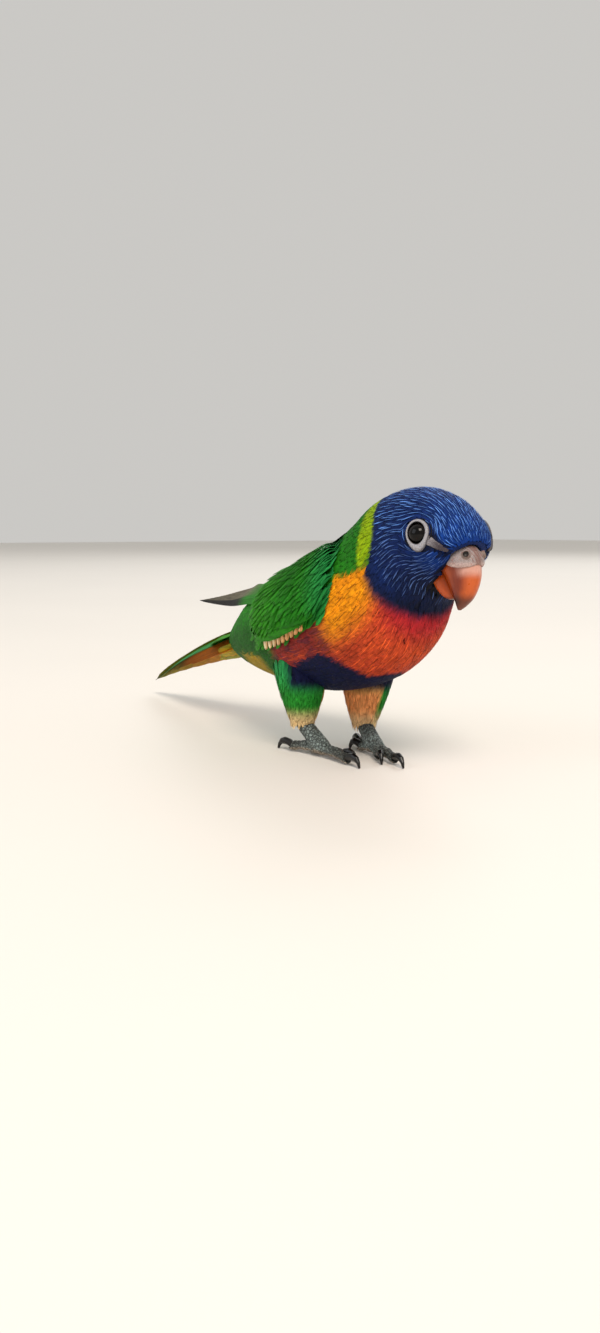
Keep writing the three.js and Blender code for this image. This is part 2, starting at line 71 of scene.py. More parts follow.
FRAME_HEIGHT = 1333  # of the photograph, in pixels
Array = np.ndarray
EYE_CENTRE = np.array((210.8, 12.3, 78.6))
EYE_RADIUS = 3.7


class Side(Enum):
    """The two sides of the bird."""

    LEFT = 1
    RIGHT = -1

    @property
    def letter(self) -> str:
        """The letter that ends the names of this side's nodes."""
        return self.name[0].lower()

    @property
    def mirror(self) -> Array:
        """What turns a place of the left side into this side's."""
        return np.array((1, self.value, 1))

    @property
    def eye(self) -> Array:
        """The centre of this side's eye."""
        return EYE_CENTRE * self.mirror

    @property
    def gaze(self) -> Array:
        """The direction in which this side's eye looks."""
        return unit(np.array([0.4, self.value, 0.3]))


class Section(Enum):
    """Cross sections of a feather's blade, as (across, up) shares, from the left edge over the top."""

    PLAIN = ((-1.0, 0.0), (0.0, 1.0), (1.0, 0.0), (0.0, -0.6))
    RIBBED = ((-1.0, 0.0), (-0.5, 0.35), (-0.08, 0.4), (0.0, 1.6), (0.08, 0.4), (0.5, 0.35), (1.0, 0.0),
              (0.0, -1.0))


# Small helpers of geometry and colour.


def linear(code: str) -> Array:
    """Turns an sRGB hex colour into linear RGB.

    Args:
        code: the colour as "#rrggbb".

    Returns:
        Three linear values.
    """
    value = np.array([int(code[i : i + 2], 16) for i in (1, 3, 5)]) / 255
    return np.where(value <= 0.04045, value / 12.92, ((value + 0.055) / 1.055) ** 2.4)


def unit(vectors: Array) -> Array:
    """Vectors scaled to length one along their last axis."""
    return vectors / np.maximum(np.linalg.norm(vectors, axis=-1, keepdims=True), 1e-9)


def ease(value: Array, low: float, high: float) -> Array:
    """A smooth step from 0 at low to 1 at high."""
    share = np.clip((np.asarray(value, float) - low) / (high - low), 0, 1)
    return share * share * (3 - 2 * share)


def mix(base: Array, over: Array, share: Array) -> Array:
    """Colours blended by a share per row."""
    share = np.asarray(share, float)[..., None]
    return base * (1 - share) + over * share


def paint(base: str | Array, *coats: tuple[str | Array, Array]) -> Array:
    """Linear colours from coats laid one after another over a base.

    Args:
        base: the first colour, as a hex code or linear values.
        coats: each further colour with its share at every place.

    Returns:
        One colour for each place.
    """
    colour = linear(base) if isinstance(base, str) else base
    for code, share in coats:
        colour = mix(colour, linear(code) if isinstance(code, str) else code, share)
    return colour


def unwrapped(turn: Array, run: Array, span: tuple[float, float] = (0, 1)) -> Array:
    """Places on an unwrap, from angles round a form and the run along a span of it."""
    return np.stack([(turn / (2 * math.pi)) % 1, (run - span[0]) / (span[1] - span[0])], -1)


def through(values: Sequence[float], share: Array) -> Array:
    """A smooth curve through evenly spaced values.

    Args:
        values: the values that the curve passes through.
        share: where to read it, from 0 to 1.

    Returns:
        The curve's value at each share.
    """
    points = np.asarray(values, float)
    place = (len(points) - 1) * np.clip(np.asarray(share, float), 0, 1)
    i = np.clip(np.floor(place).astype(int), 0, len(points) - 2)
    w = place - i
    before = points[np.maximum(i - 1, 0)]
    here, there = points[i], points[i + 1]
    after = points[np.minimum(i + 2, len(points) - 1)]
    go, come = (there - before) / 2, (after - here) / 2
    cubed, squared = 2 * here - 2 * there + go + come, 3 * there - 3 * here - 2 * go - come
    return cubed * w**3 + squared * w**2 + go * w + here


def scatter(points: Array, radii: Array, seed: int, ways: Array, stretch: float = 1.0) -> Array:
    """Thins random points until none is nearer to a kept one than its radius.

    Args:
        points: candidate points.
        radii: the least distance at each of them, square to its feather.
        seed: the seed of the order in which they are tried.
        ways: unit directions of the feathers.
        stretch: how much further apart they stand along those directions.

    Returns:
        The indices of the kept points.
    """
    cell = float(radii.max()) * stretch
    less = 1 - 1 / stretch**2
    order = np.random.default_rng(seed).permutation(len(points))
    keys = np.floor(points / cell).astype(int)
    kept: list[int] = []
    grid: dict[tuple[int, int, int], list[int]] = {}
    around = [(x, y, z) for x in (-1, 0, 1) for y in (-1, 0, 1) for z in (-1, 0, 1)]
    place = points.tolist()
    lies = ways.tolist()
    reach = (radii**2).tolist()
    for i in order.tolist():
        kx, ky, kz = keys[i].tolist()
        px, py, pz = place[i]
        wx, wy, wz = lies[i]
        near = reach[i]
        for j in (k for ox, oy, oz in around for k in grid.get((kx + ox, ky + oy, kz + oz), ())):
            qx, qy, qz = place[j]
            dx, dy, dz = px - qx, py - qy, pz - qz
            if dx * dx + dy * dy + dz * dz - less * (dx * wx + dy * wy + dz * wz) ** 2 < near:
                break
        else:
            kept.append(i)
            grid.setdefault((kx, ky, kz), []).append(i)
    return np.array(kept)


@dataclass(frozen=True)
class Anchor:
    """Where the bird's own frame lies in the part's frame, in millimetres."""

    shift: tuple[float, float, float]

    @classmethod
    def from_eye(cls) -> "Anchor":
        """The anchor that puts the right eye's centre where its solid is."""
        low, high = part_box("eye_r")
        middle = (Vector(low) + Vector(high)) / 2 / MM
        return cls(tuple(np.array(middle) - Side.RIGHT.eye))

    def metres(self, points: Array) -> Array:
        """Points of the bird's frame as metres in the part's frame."""
        return (np.asarray(points, float) + self.shift) * MM

    def bird(self, points: Array) -> Array:
        """Points of the part's frame as millimetres in the bird's frame."""
        return np.asarray(points, float) / MM - self.shift

    def read(self, mesh: bpy.types.Mesh) -> Array:
        """A mesh's vertices as points of the bird's frame."""
        return self.bird(vectors(mesh.vertices, "co"))

    def write(self, mesh: bpy.types.Mesh, points: Array) -> None:
        """Moves a mesh's vertices to points of the bird's frame."""
        mesh.vertices.foreach_set("co", self.metres(points).ravel())
        mesh.update()


@dataclass(frozen=True)
class Trunk:
    """The body's own surface, the same smooth form that the solids of head, neck and torso are cut from."""

    rows: tuple[tuple[float, ...], ...] = (
        # back x, back z, belly x, belly z, half width, level of the greatest width
        (84, 36.5, 86, 31.5, 6, 0.5),
        (90, 42.4, 91.5, 28.6, 9.8, 0.5),
        (99, 50, 101.5, 25.8, 14, 0.52),
        (112, 58.2, 115, 23.8, 18.4, 0.53),
        (128, 64.5, 132, 22.4, 22, 0.53),
        (144, 70.4, 150, 22, 23.8, 0.52),
        (157, 75.4, 166.2, 24.6, 24.2, 0.5),
        (167, 80, 182, 30.2, 23.4, 0.5),
        (175, 85.2, 194.6, 39.2, 21.4, 0.49),
        (180.6, 89.4, 200.6, 48.4, 19.4, 0.48),
        (186.5, 91.9, 202.6, 55, 17.9, 0.48),
        (194, 93.4, 205.2, 59, 17.5, 0.5),
        (202, 93.2, 206.6, 61.4, 17, 0.52),
        (210.5, 90.2, 209, 63.4, 15.4, 0.53),
        (217, 84.8, 211.6, 65.4, 13.6, 0.54),
        (220.8, 80.2, 214, 67.2, 10.8, 0.54),
        (222.4, 76.4, 216.6, 70, 7, 0.5),
    )

    def point(self, t: Array, angle: Array) -> Array:
        """Points of the surface.

        Args:
            t: shares of the trunk's length.
            angle: angles from the back's ridge.

        Returns:
            One point for each pair.
        """
        t, angle = np.broadcast_arrays(np.asarray(t, float), np.asarray(angle, float))
        back_x, back_z, belly_x, belly_z, half, share = (through(column, t) for column in zip(*self.rows))
        level_x = back_x + (belly_x - back_x) * share
        level_z = back_z + (belly_z - back_z) * share
        up = np.cos(angle)
        x = level_x + np.where(up > 0, back_x - level_x, belly_x - level_x) * np.abs(up)
        z = level_z + np.where(up > 0, back_z - level_z, belly_z - level_z) * np.abs(up)
        return np.stack([x, half * np.sin(angle), z], -1)

    def slopes(self, t: Array, angle: Array) -> tuple[Array, Array]:
        """How a point moves with t and with the angle."""
        t, step = np.clip(t, 0.01, 0.985), 0.002
        along = (self.point(t + step, angle) - self.point(t - step, angle)) / (2 * step)
        turn = (self.point(t, angle + step) - self.point(t, angle - step)) / (2 * step)
        return along, turn

    def normal(self, t: Array, angle: Array) -> Array:
        """The outward direction of the surface."""
        return unit(np.cross(*self.slopes(t, angle)))

    def raised(self, t: Array, angle: Array, height: Array) -> Array:
        """Points at a height over the surface."""
        return self.point(t, angle) + self.normal(t, angle) * np.asarray(height, float)[..., None]

    def place_of(self, points: Array) -> tuple[Array, Array]:
        """The nearest place on the surface to each point.

        Args:
            points: points near the surface.

        Returns:
            Their t and angle.
        """
        turns = np.linspace(-math.pi, math.pi, 181)[:-1]
        t, angle = np.meshgrid(np.linspace(0, 1, 161), turns, indexing="ij")
        places = self.point(t, angle).reshape(-1, 3)
        tree = KDTree(len(places))
        for i, place in enumerate(places.tolist()):
            tree.insert(place, i)
        tree.balance()
        found = np.array([tree.find(p)[1] for p in points.tolist()])
        return t.reshape(-1)[found], angle.reshape(-1)[found]


# Colours of the plumage.


@dataclass(frozen=True)
class Markings:
    """The bird's colours by place, shared by its skin and its feathers."""

    cobalt: str = "#0d3684"
    royal: str = "#0a2258"
    navy: str = "#0a1430"
    lime: str = "#89a900"
    leaf: str = "#218010"
    moss: str = "#1a5a12"
    grass: str = "#3c9a0e"
    teal: str = "#2a9a50"
    amber: str = "#e28a08"
    flame: str = "#c64824"
    scarlet: str = "#b0242a"
    wine: str = "#5e1020"
    ink: str = "#070e34"
    peach: str = "#ee9a5c"
    cream: str = "#f2cd98"
    vent: str = "#a8881c"
    ember: str = "#ac3a20"
    plum: str = "#2c1638"

    def turned(self, angle: Array) -> Array:
        """Angles from the back's ridge, alike on both sides."""
        return np.abs((np.asarray(angle) + math.pi) % (2 * math.pi) - math.pi)

    def head_from(self, a: Array) -> Array:
        """Where along the trunk the blue head starts."""
        return np.interp(a, [0, 0.55, 0.9, 1.28, 1.5, 1.65, 1.75, 2.04, 2.33, 2.62, 3.14],
                         [0.612, 0.622, 0.638, 0.642, 0.628, 0.598, 0.562, 0.562, 0.578, 0.592, 0.602])

    def side_line(self, t: Array) -> Array:
        """The angle at which the green back meets the breast."""
        return np.interp(t, [0.3, 0.4, 0.45, 0.483, 0.529, 0.57, 0.62],
                         [1.7, 1.62, 1.45, 1.36, 1.55, 1.66, 1.7])

    def flank(self, t: Array, a: Array) -> Array:
        """How much a place belongs to the dark flank under the wing."""
        return ease(t, 0.455, 0.4) * ease(a, 2.3, 2.08) * ease(a, 1.5, 1.6) * ease(t, 0.27, 0.3)

    def trunk(self, t: Array, angle: Array) -> Array:
        """Colours of places on the trunk.

        Args:
            t: shares of the trunk's length.
            angle: angles from the back's ridge.

        Returns:
            Linear colours, one row for each place.
        """
        a = self.turned(angle)
        in_head = t - self.head_from(a)
        green = paint(self.leaf, (self.moss, ease(t, 0.4, 0.52) * 0.55))
        breast = paint(
            self.amber,
            (self.flame, ease(a, 1.82, 2.3)),
            (self.flame, ease(t, 0.45, 0.39)),
            (self.scarlet, ease(t, 0.5, 0.57) * ease(a, 1.95, 2.5)),
            (self.ember, ease(t, 0.5, 0.44) * ease(a, 2.0, 2.3) * 0.7),
        )
        belly_to = np.interp(a, [2.05, 2.15, 2.3, 2.49, 2.64, 2.85, 3.04],
                             [0.385, 0.408, 0.421, 0.429, 0.433, 0.438, 0.454])
        belly_side = np.interp(t, [0.27, 0.312, 0.354, 0.383, 0.42], [2.28, 2.2, 2.12, 2.09, 2.1])
        belly = ease(belly_to - t, -0.005, 0.005) * ease(a - belly_side, -0.03, 0.03) * ease(t, 0.262, 0.278)
        patch = ease(t, 0.3, 0.335) * ease(t, 0.4, 0.355) * ease(a, 1.9, 2.1)
        under = ease(t, 0.14, 0.2) * ease(t, 0.262, 0.235) * ease(a, 1.95, 2.1) * ease(a, 2.75, 2.5)
        collar_from = np.interp(a, [0, 0.52, 1.1, 1.54, 1.7], [0.582, 0.586, 0.576, 0.553, 0.56])
        soft = 0.003 + 0.009 * ease(a, 1.6, 2.0)
        blue = paint(
            self.royal,
            (self.cobalt, ease(t, 0.78, 0.93)),
            (self.cobalt, ease(a, 0.9, 0.2) * 0.35),
            (self.navy, ease(a, 1.9, 2.7) * ease(t, 0.97, 0.75) * 0.75),
            (self.navy, ease(in_head, 0.05, 0.0) * ease(a, 1.35, 1.7) * 0.8),
        )
        return paint(
            green,
            (breast, ease(a - self.side_line(t), -0.03, 0.05) * ease(t, 0.28, 0.3)),
            (self.wine, self.flank(t, a) * 0.75),
            (self.ember, patch * 0.85),
            (self.ink, belly),
            # Darker moss over the rump's sides: partly the rump's own darker green, partly painted shade.
            (linear(self.moss) * 0.8, ease(t, 0.31, 0.27) * ease(a, 0.9, 1.75) * 0.9),
            (self.vent, under * 0.85),
            (self.lime, ease(t - collar_from, -0.007, 0.005) * ease(a, 1.68, 1.55)),
            (self.plum, ease(in_head / soft, -2.2, 0) * ease(a, 1.65, 1.9) * 0.6),
            (blue, ease(in_head / soft, -1, 1)),
        )

    def leg(self, share: Array, inward: Array, inner: float) -> Array:
        """Colours of a thigh: green outside, peach inside, dark where it meets the belly, pale at the ankle.

        Args:
            share: how far down the leg, from 0 at the hip to 1 at the ankle.
            inward: how much the surface faces the body's middle, from -1 to 1.
            inner: where the peach starts, on that scale.

        Returns:
            Linear colours.
        """
        return paint(
            self.teal,
            (self.leaf, ease(share, 0.3, 0.75) * 0.8),
            (self.ink, ease(share, 0.68, 0.5) * ease(inward, -0.95, -0.6)),
            (self.peach, ease(inward, inner - 0.15, inner + 0.15) * ease(share, 0.5, 0.66)),
            (self.cream, ease(share, 0.8, 1.0) * 0.9),
        )

    def wing(self, t: Array, angle: Array) -> Array:
        """Colours of the folded wing: blue-green at the shoulder, brighter towards its tips."""
        return paint(
            self.leaf,
            (self.teal, ease(t, 0.39, 0.47) * 0.8),
            (self.grass, ease(t, 0.36, 0.28) * 0.5),
            (self.moss, ease(np.abs(angle), 0.85, 0.5) * 0.5),
        )


# Materials.


def add_node(
    material: bpy.types.Material,
    kind: str,
    inputs: dict[str | int, object] | None = None,
    output: str | int = 0,
    **settings: object,
) -> bpy.types.NodeSocket | None:
    """Adds one node to a material, with its settings and links.

    Args:
        material: the material.
        kind: the node's type, without the ShaderNode in front.
        inputs: values, or sockets to link, by the name or number of the input.
        output: the name or number of the output that is wanted.
        settings: the node's own properties.

    Returns:
        That output, or nothing for a node without outputs.
    """
    tree = material.node_tree
    node = tree.nodes.new("ShaderNode" + kind)
    for name, value in settings.items():
        setattr(node, name, value)
    for name, value in (inputs or {}).items():
        socket = node.inputs[name]
        if isinstance(value, bpy.types.NodeSocket):
            tree.links.new(value, socket)
        else:
            socket.default_value = (*value, 1) if socket.type == "RGBA" else value
    return node.outputs[output] if node.outputs else None


SMOOTH = {"interpolation_type": "SMOOTHSTEP"}
TIMES = {"operation": "MULTIPLY"}
SHADE = {"data_type": "RGBA", "blend_type": "MULTIPLY"}
MIXED = 2  # the output of a Mix node that holds colours; its colours go in at 6 and 7


@dataclass(frozen=True)
class Finish:
    """A material, whose kind fills in what its shader gets."""

    name: str

    def surface(self, m: bpy.types.Material) -> dict[str | int, object]:
        """Adds the nodes of the pattern and gives the shader's inputs."""
        raise NotImplementedError

    def build(self) -> bpy.types.Material:
        """Builds the material."""
        m = bpy.data.materials.new(self.name)
        m.use_nodes = True
        m.node_tree.nodes.clear()
        add_node(m, "OutputMaterial", {"Surface": add_node(m, "BsdfPrincipled", self.surface(m))})
        return m


@dataclass(frozen=True)
class FeatherFinish(Finish):
    """Keratin vanes: soft, matt, with fine barbs to each side of a shaft."""

    barb: float = 0.34
    strand: float = 0.35
    contrast: float = 0.25
    relief: float = 0.4
    roughness: float = 0.66

    def surface(self, m: bpy.types.Material) -> dict[str | int, object]:
        """Adds barbs and strands that follow the Vane map, in centimetres along each feather."""
        plume = add_node(m, "Attribute", output="Color", attribute_name="Plume")
        place = add_node(m, "TexCoord", output="Object")
        across = add_node(m, "SeparateXYZ", {0: add_node(m, "UVMap", uv_map="Vane")})
        along = across.node.outputs[1]
        # Barbs run out and forwards from the shaft.
        aside = add_node(m, "Math", {0: across}, operation="ABSOLUTE")
        out = add_node(m, "Math", {0: aside, 1: 1.1}, **TIMES)
        lie = add_node(m, "Math", {0: along, 1: out}, operation="SUBTRACT")
        drift = add_node(m, "TexNoise", {"Vector": place, "Scale": 1000 / 0.9, "Detail": 2})
        bent = add_node(m, "Math", {0: drift, 1: 0.03, 2: lie}, operation="MULTIPLY_ADD")
        turns = add_node(m, "Math", {0: bent, 1: 62.8 / self.barb}, **TIMES)
        wave = add_node(m, "Math", {0: turns}, operation="SINE")
        cloud = add_node(m, "TexNoise", {"Vector": place, "Scale": 1000 / 2.2, "Detail": 2})
        broad = add_node(m, "MapRange", {"Value": cloud, "From Min": 0.3, "From Max": 0.7, "To Min": 0.87,
                                         "To Max": 1.13}, **SMOOTH)
        # Loose barbs part into darker and lighter strands, different in each feather.
        root = add_node(m, "SeparateXYZ", {0: add_node(m, "UVMap", uv_map="OFBake")})
        both = add_node(m, "Math", {0: root, 1: root.node.outputs[1]}, operation="ADD")
        strand = add_node(m, "CombineXYZ", {
            0: add_node(m, "Math", {0: across, 1: 10 / self.strand}, **TIMES),
            1: add_node(m, "Math", {0: along, 1: 2.2}, **TIMES),
            2: add_node(m, "Math", {0: both, 1: 90.0}, **TIMES)})
        hair = add_node(m, "TexNoise", {"Vector": strand, "Scale": 1.0, "Detail": 2})
        fibre = add_node(m, "MapRange", {"Value": hair, "From Min": 0.3, "From Max": 0.7,
                                         "To Min": 1 - self.contrast, "To Max": 1 + self.contrast})
        ridges = add_node(m, "Math", {0: wave, 1: 0.05, 2: broad}, operation="MULTIPLY_ADD")
        shade = add_node(m, "Math", {0: ridges, 1: fibre}, **TIMES)
        grey = add_node(m, "CombineColor", {0: shade, 1: shade, 2: shade})
        bump = add_node(m, "Bump", {"Strength": self.relief, "Distance": 0.00006, "Height": wave})
        return {"Base Color": add_node(m, "Mix", {0: 1.0, 6: plume, 7: grey}, MIXED, **SHADE),
                "Roughness": self.roughness, "Specular IOR Level": 0.12, "Normal": bump}


@dataclass(frozen=True)
class SkinFinish(Finish):
    """Bare skin and the down between feathers: matt, finely pored, carrying the plumage's colours."""

    name: str = "downy_skin"

    def surface(self, m: bpy.types.Material) -> dict[str | int, object]:
        """Adds a darker mottle and a pored relief to the Plume attribute."""
        plume = add_node(m, "Attribute", output="Color", attribute_name="Plume")
        place = add_node(m, "TexCoord", output="Object")
        pores = add_node(m, "TexNoise", {"Vector": place, "Scale": 1000 / 0.7, "Detail": 4})
        mottle = add_node(m, "MapRange", {"Value": pores, "From Min": 0.35, "From Max": 0.65,
                                          "To Max": 0.35}, **SMOOTH)
        colour = add_node(m, "Mix", {0: mottle, 6: plume, 7: (0.02, 0.018, 0.018)}, MIXED, **SHADE)
        return {"Base Color": colour, "Roughness": 0.8, "Specular IOR Level": 0.25,
                "Normal": add_node(m, "Bump", {"Strength": 0.5, "Distance": 0.00012, "Height": pores})}


@dataclass(frozen=True)
class HornFinish(Finish):
    """Horn of bill and claws: layered keratin, polished by use, with faint growth lines and scratches."""

    roughness: float = 0.3
    grain: float = 0.9
    relief: float = 0.25
    coat: float = 0.12

    def surface(self, m: bpy.types.Material) -> dict[str | int, object]:
        """Adds growth lines and clouds to the Tint attribute."""
        tint = add_node(m, "Attribute", output="Color", attribute_name="Tint")
        place = add_node(m, "TexCoord", output="Object")
        lines = add_node(m, "Mapping", {"Vector": place, "Rotation": (0, 0.5, 0), "Scale": (1, 1, 0.28)})
        fibre = add_node(m, "TexNoise", {"Vector": lines, "Scale": 1000 / self.grain, "Detail": 4})
        cloud = add_node(m, "TexNoise", {"Vector": place, "Scale": 1000 / 3.5, "Detail": 2})
        streak = add_node(m, "MapRange", {"Value": fibre, "From Min": 0.4, "From Max": 0.7,
                                          "To Max": 0.3}, **SMOOTH)
        stain = add_node(m, "MapRange", {"Value": cloud, "From Min": 0.4, "From Max": 0.75,
                                         "To Max": 0.35}, **SMOOTH)
        colour = add_node(m, "Mix", {0: streak, 6: tint, 7: (0.55, 0.42, 0.34)}, MIXED, **SHADE)
        return {
            "Base Color": add_node(m, "Mix", {0: stain, 6: colour, 7: (0.62, 0.5, 0.42)}, MIXED, **SHADE),
            "Roughness": add_node(m, "MapRange", {"Value": cloud, "To Min": self.roughness * 0.75,
                                                  "To Max": self.roughness * 1.35}),
            "Coat Weight": self.coat, "Coat Roughness": 0.15, "Specular IOR Level": 0.35,
            "Subsurface Weight": 0.03, "Subsurface Radius": (0.002, 0.0008, 0.0004),
            "Normal": add_node(m, "Bump", {"Strength": self.relief, "Distance": 0.0001, "Height": fibre})}


@dataclass(frozen=True)
class BareFinish(Finish):
    """Naked skin of cere, lids and lores: finely wrinkled, slightly moist and granular."""

    grain: float = 0.45
    relief: float = 0.6
    blotch: str = "#9a4a3a"
    blotched: float = 0.3

    def surface(self, m: bpy.types.Material) -> dict[str | int, object]:
        """Adds small blotches and granules to the Tint attribute."""
        tint = add_node(m, "Attribute", output="Color", attribute_name="Tint")
        place = add_node(m, "TexCoord", output="Object")
        grains = add_node(m, "TexVoronoi", {"Vector": place, "Scale": 1000 / self.grain}, "Distance")
        cloud = add_node(m, "TexNoise", {"Vector": place, "Scale": 1000 / 0.9, "Detail": 3})
        spots = add_node(m, "MapRange", {"Value": cloud, "From Min": 0.56, "From Max": 0.72,
                                         "To Max": self.blotched}, **SMOOTH)
        seams = add_node(m, "MapRange", {"Value": grains, "From Min": 0.35, "From Max": 0.75,
                                         "To Max": 0.4}, **SMOOTH)
        colour = add_node(m, "Mix", {0: spots, 6: tint, 7: linear(self.blotch)}, MIXED, data_type="RGBA")
        bump = add_node(m, "Bump", {"Strength": self.relief, "Distance": 0.0001, "Height": grains},
                        invert=True)
        return {"Base Color": add_node(m, "Mix", {0: seams, 6: colour, 7: (0.35, 0.3, 0.3)}, MIXED, **SHADE),
                "Roughness": 0.48, "Subsurface Weight": 0.12, "Subsurface Radius": (0.002, 0.001, 0.0007),
                "Normal": bump}


@dataclass(frozen=True)
class ScaleFinish(Finish):
    """Scaled skin of the feet: small dry plates with darker seams between them."""

    name: str = "scaled_foot"
    plate: float = 1.05

    def surface(self, m: bpy.types.Material) -> dict[str | int, object]:
        """Adds plates, each of its own grey, and their seams to the Tint attribute."""
        tint = add_node(m, "Attribute", output="Color", attribute_name="Tint")
        cells = {"Vector": add_node(m, "TexCoord", output="Object"), "Scale": 1000 / self.plate}
        rim = add_node(m, "TexVoronoi", cells, "Distance", feature="DISTANCE_TO_EDGE")
        pale = add_node(m, "SeparateColor", {0: add_node(m, "TexVoronoi", cells, "Color")})
        grey = add_node(m, "CombineColor", {0: pale, 1: pale, 2: pale})
        seam = add_node(m, "MapRange", {"Value": rim, "From Min": 0.16, "From Max": 0.03,
                                        "To Max": 0.85}, **SMOOTH)
        high = add_node(m, "MapRange", {"Value": rim, "From Min": 0.0, "From Max": 0.22}, **SMOOTH)
        colour = add_node(m, "Mix", {0: 0.35, 6: tint, 7: grey}, MIXED, data_type="RGBA",
                          blend_type="OVERLAY")
        return {"Base Color": add_node(m, "Mix", {0: seam, 6: colour, 7: (0.1, 0.1, 0.1)}, MIXED, **SHADE),
                "Roughness": 0.55, "Specular IOR Level": 0.4,
                "Normal": add_node(m, "Bump", {"Strength": 1.0, "Distance": 0.0003, "Height": high})}


@dataclass(frozen=True)
class EyeFinish(Finish):
    """The wet eye: a dark iris under a clear, glossy cornea."""

    name: str = "wet_eye"

    def surface(self, m: bpy.types.Material) -> dict[str | int, object]:
        """Adds fine flecks of the iris to the Tint attribute."""
        tint = add_node(m, "Attribute", output="Color", attribute_name="Tint")
        place = add_node(m, "TexCoord", output="Object")
        cloud = add_node(m, "TexNoise", {"Vector": place, "Scale": 1000 / 0.5, "Detail": 3})
        fleck = add_node(m, "MapRange", {"Value": cloud, "From Min": 0.4, "From Max": 0.7,
                                         "To Max": 0.5}, **SMOOTH)
        return {"Base Color": add_node(m, "Mix", {0: fleck, 6: tint, 7: (0.3, 0.2, 0.15)}, MIXED, **SHADE),
                "Roughness": 0.07, "Specular IOR Level": 0.2}


@dataclass(frozen=True)
class FloorFinish(Finish):
    """A plain pale floor, matt, with a breath of unevenness."""

    name: str = "pale_floor"
    colour: str = "#e6e2dc"

    def surface(self, m: bpy.types.Material) -> dict[str | int, object]:
        """Adds faint clouds to the floor's colour."""
        place = add_node(m, "TexCoord", output="Object")
        cloud = add_node(m, "TexNoise", {"Vector": place, "Scale": 1000 / 220, "Detail": 2})
        share = add_node(m, "Math", {0: cloud, 1: 0.1}, **TIMES)
        mixed = {0: share, 6: linear(self.colour), 7: (0.6, 0.6, 0.6)}
        return {"Base Color": add_node(m, "Mix", mixed, MIXED, **SHADE), "Roughness": 0.7}


# Meshes.


def make_piece(name: str, mesh: bpy.types.Mesh, material: bpy.types.Material,
               replaces: Sequence[str] = ()) -> bpy.types.Object:
    """Adds a finished mesh to the part.

    Args:
        name: the piece's name.
        mesh: its mesh, in metres in the part's frame.
        material: its material.
        replaces: the solids that it stands for.

    Returns:
        The object.
    """
    mesh.name = name
    mesh.materials.clear()
    mesh.materials.append(material)
    piece = bpy.data.objects.new(name, mesh)
    bpy.context.scene.collection.objects.link(piece)
    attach(piece, "root")
    if replaces:
        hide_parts(*replaces)
    LOG.info("%s: %d triangles", name, sum(len(p.vertices) - 2 for p in mesh.polygons))
    return piece


def tint(mesh: bpy.types.Mesh, colours: Array, name: str = "Tint") -> None:
    """Stores one linear colour for each vertex."""
    layer = mesh.color_attributes.new(name, "FLOAT_COLOR", "POINT")
    full = np.ones((len(mesh.vertices), 4))
    full[:, :3] = colours
    layer.data.foreach_set("color", full.ravel())


def mesh_of(bm: bmesh.types.BMesh) -> bpy.types.Mesh:
    """Turns a bmesh into a smooth mesh and frees it."""
    mesh = bpy.data.meshes.new("shape")
    bm.to_mesh(mesh)
    bm.free()
    mesh.shade_smooth()
    return mesh


def vectors(items: bpy.types.bpy_prop_collection, name: str) -> Array:
    """One vector property of every item of a mesh."""
    flat = np.empty(len(items) * 3)
    items.foreach_get(name, flat)
    return flat.reshape(-1, 3)


def merged_copy(nodes: Sequence[str], swell: float = 0.0) -> bmesh.types.BMesh:
    """Copies solids into one bmesh with their doubles merged.

    Args:
        nodes: the solids' names.
        swell: how far each is pushed outwards, in millimetres.

    Returns:
        The joined copy.
    """
    bm = bmesh.new()
    for node in nodes:
        one = bmesh.new()
        one.from_mesh(bpy.data.objects[node].data)
        bmesh.ops.remove_doubles(one, verts=one.verts, dist=1e-6)
        one.normal_update()
        for vertex in one.verts:
            vertex.co += vertex.normal * swell * MM
        mesh = mesh_of(one)
        bm.from_mesh(mesh)
        bpy.data.meshes.remove(mesh)
    return bm


def remeshed(bm: bmesh.types.BMesh, voxel: float, smooth: int) -> bpy.types.Mesh:
    """One closed, even surface round the shells of a bmesh.

    Args:
        bm: the shells, which is freed.
        voxel: the size of its faces in millimetres.
        smooth: how many times it is smoothed.

    Returns:
        The new mesh.
    """
    mesh = mesh_of(bm)
    holder = bpy.data.objects.new("raw", mesh)
    bpy.context.scene.collection.objects.link(holder)
    remesh = holder.modifiers.new("remesh", "REMESH")
    remesh.mode = "VOXEL"
    remesh.voxel_size = voxel * MM
    relax = holder.modifiers.new("smooth", "SMOOTH")
    relax.factor = 0.5
    relax.iterations = smooth
    graph = bpy.context.evaluated_depsgraph_get()
    made = bpy.data.meshes.new_from_object(holder.evaluated_get(graph))
    bpy.data.objects.remove(holder)
    bpy.data.meshes.remove(mesh)
    made.shade_smooth()
    return made


def tree_of(nodes: Sequence[str], anchor: Anchor) -> BVHTree:
    """A search tree over solids, in the bird's millimetres."""
    bm = merged_copy(nodes)
    points = anchor.bird(np.array([v.co[:] for v in bm.verts]))
    faces = [[v.index for v in f.verts] for f in bm.faces]
    bm.free()
    return BVHTree.FromPolygons(points.tolist(), faces)


def inside(tree: BVHTree, points: Array, margin: float = 0.0) -> Array:
    """Which points lie inside a tree's solids or nearer to them than a margin.

    Args:
        tree: the search tree of closed solids.
        points: the points.
        margin: the distance that counts as inside.

    Returns:
        One truth value for each point, from the number of walls that a ray from it crosses.
    """
    result = np.zeros(len(points), bool)
    way = Vector((0.31, 0.17, 0.93)).normalized()
    for i, p in enumerate(points.tolist()):
        if tree.find_nearest(p)[3] < margin:
            result[i] = True
            continue
        place, walls = Vector(p), 0
        while walls < 40:
            hit = tree.ray_cast(place, way)[0]
            if hit is None:
                break
            walls += 1
            place = hit + way * 0.002
        result[i] = walls % 2 == 1
    return result


def distances(tree: BVHTree, points: Array) -> Array:
    """How far each point is from a tree's solids."""
    return np.array([tree.find_nearest(p)[3] for p in points.tolist()])


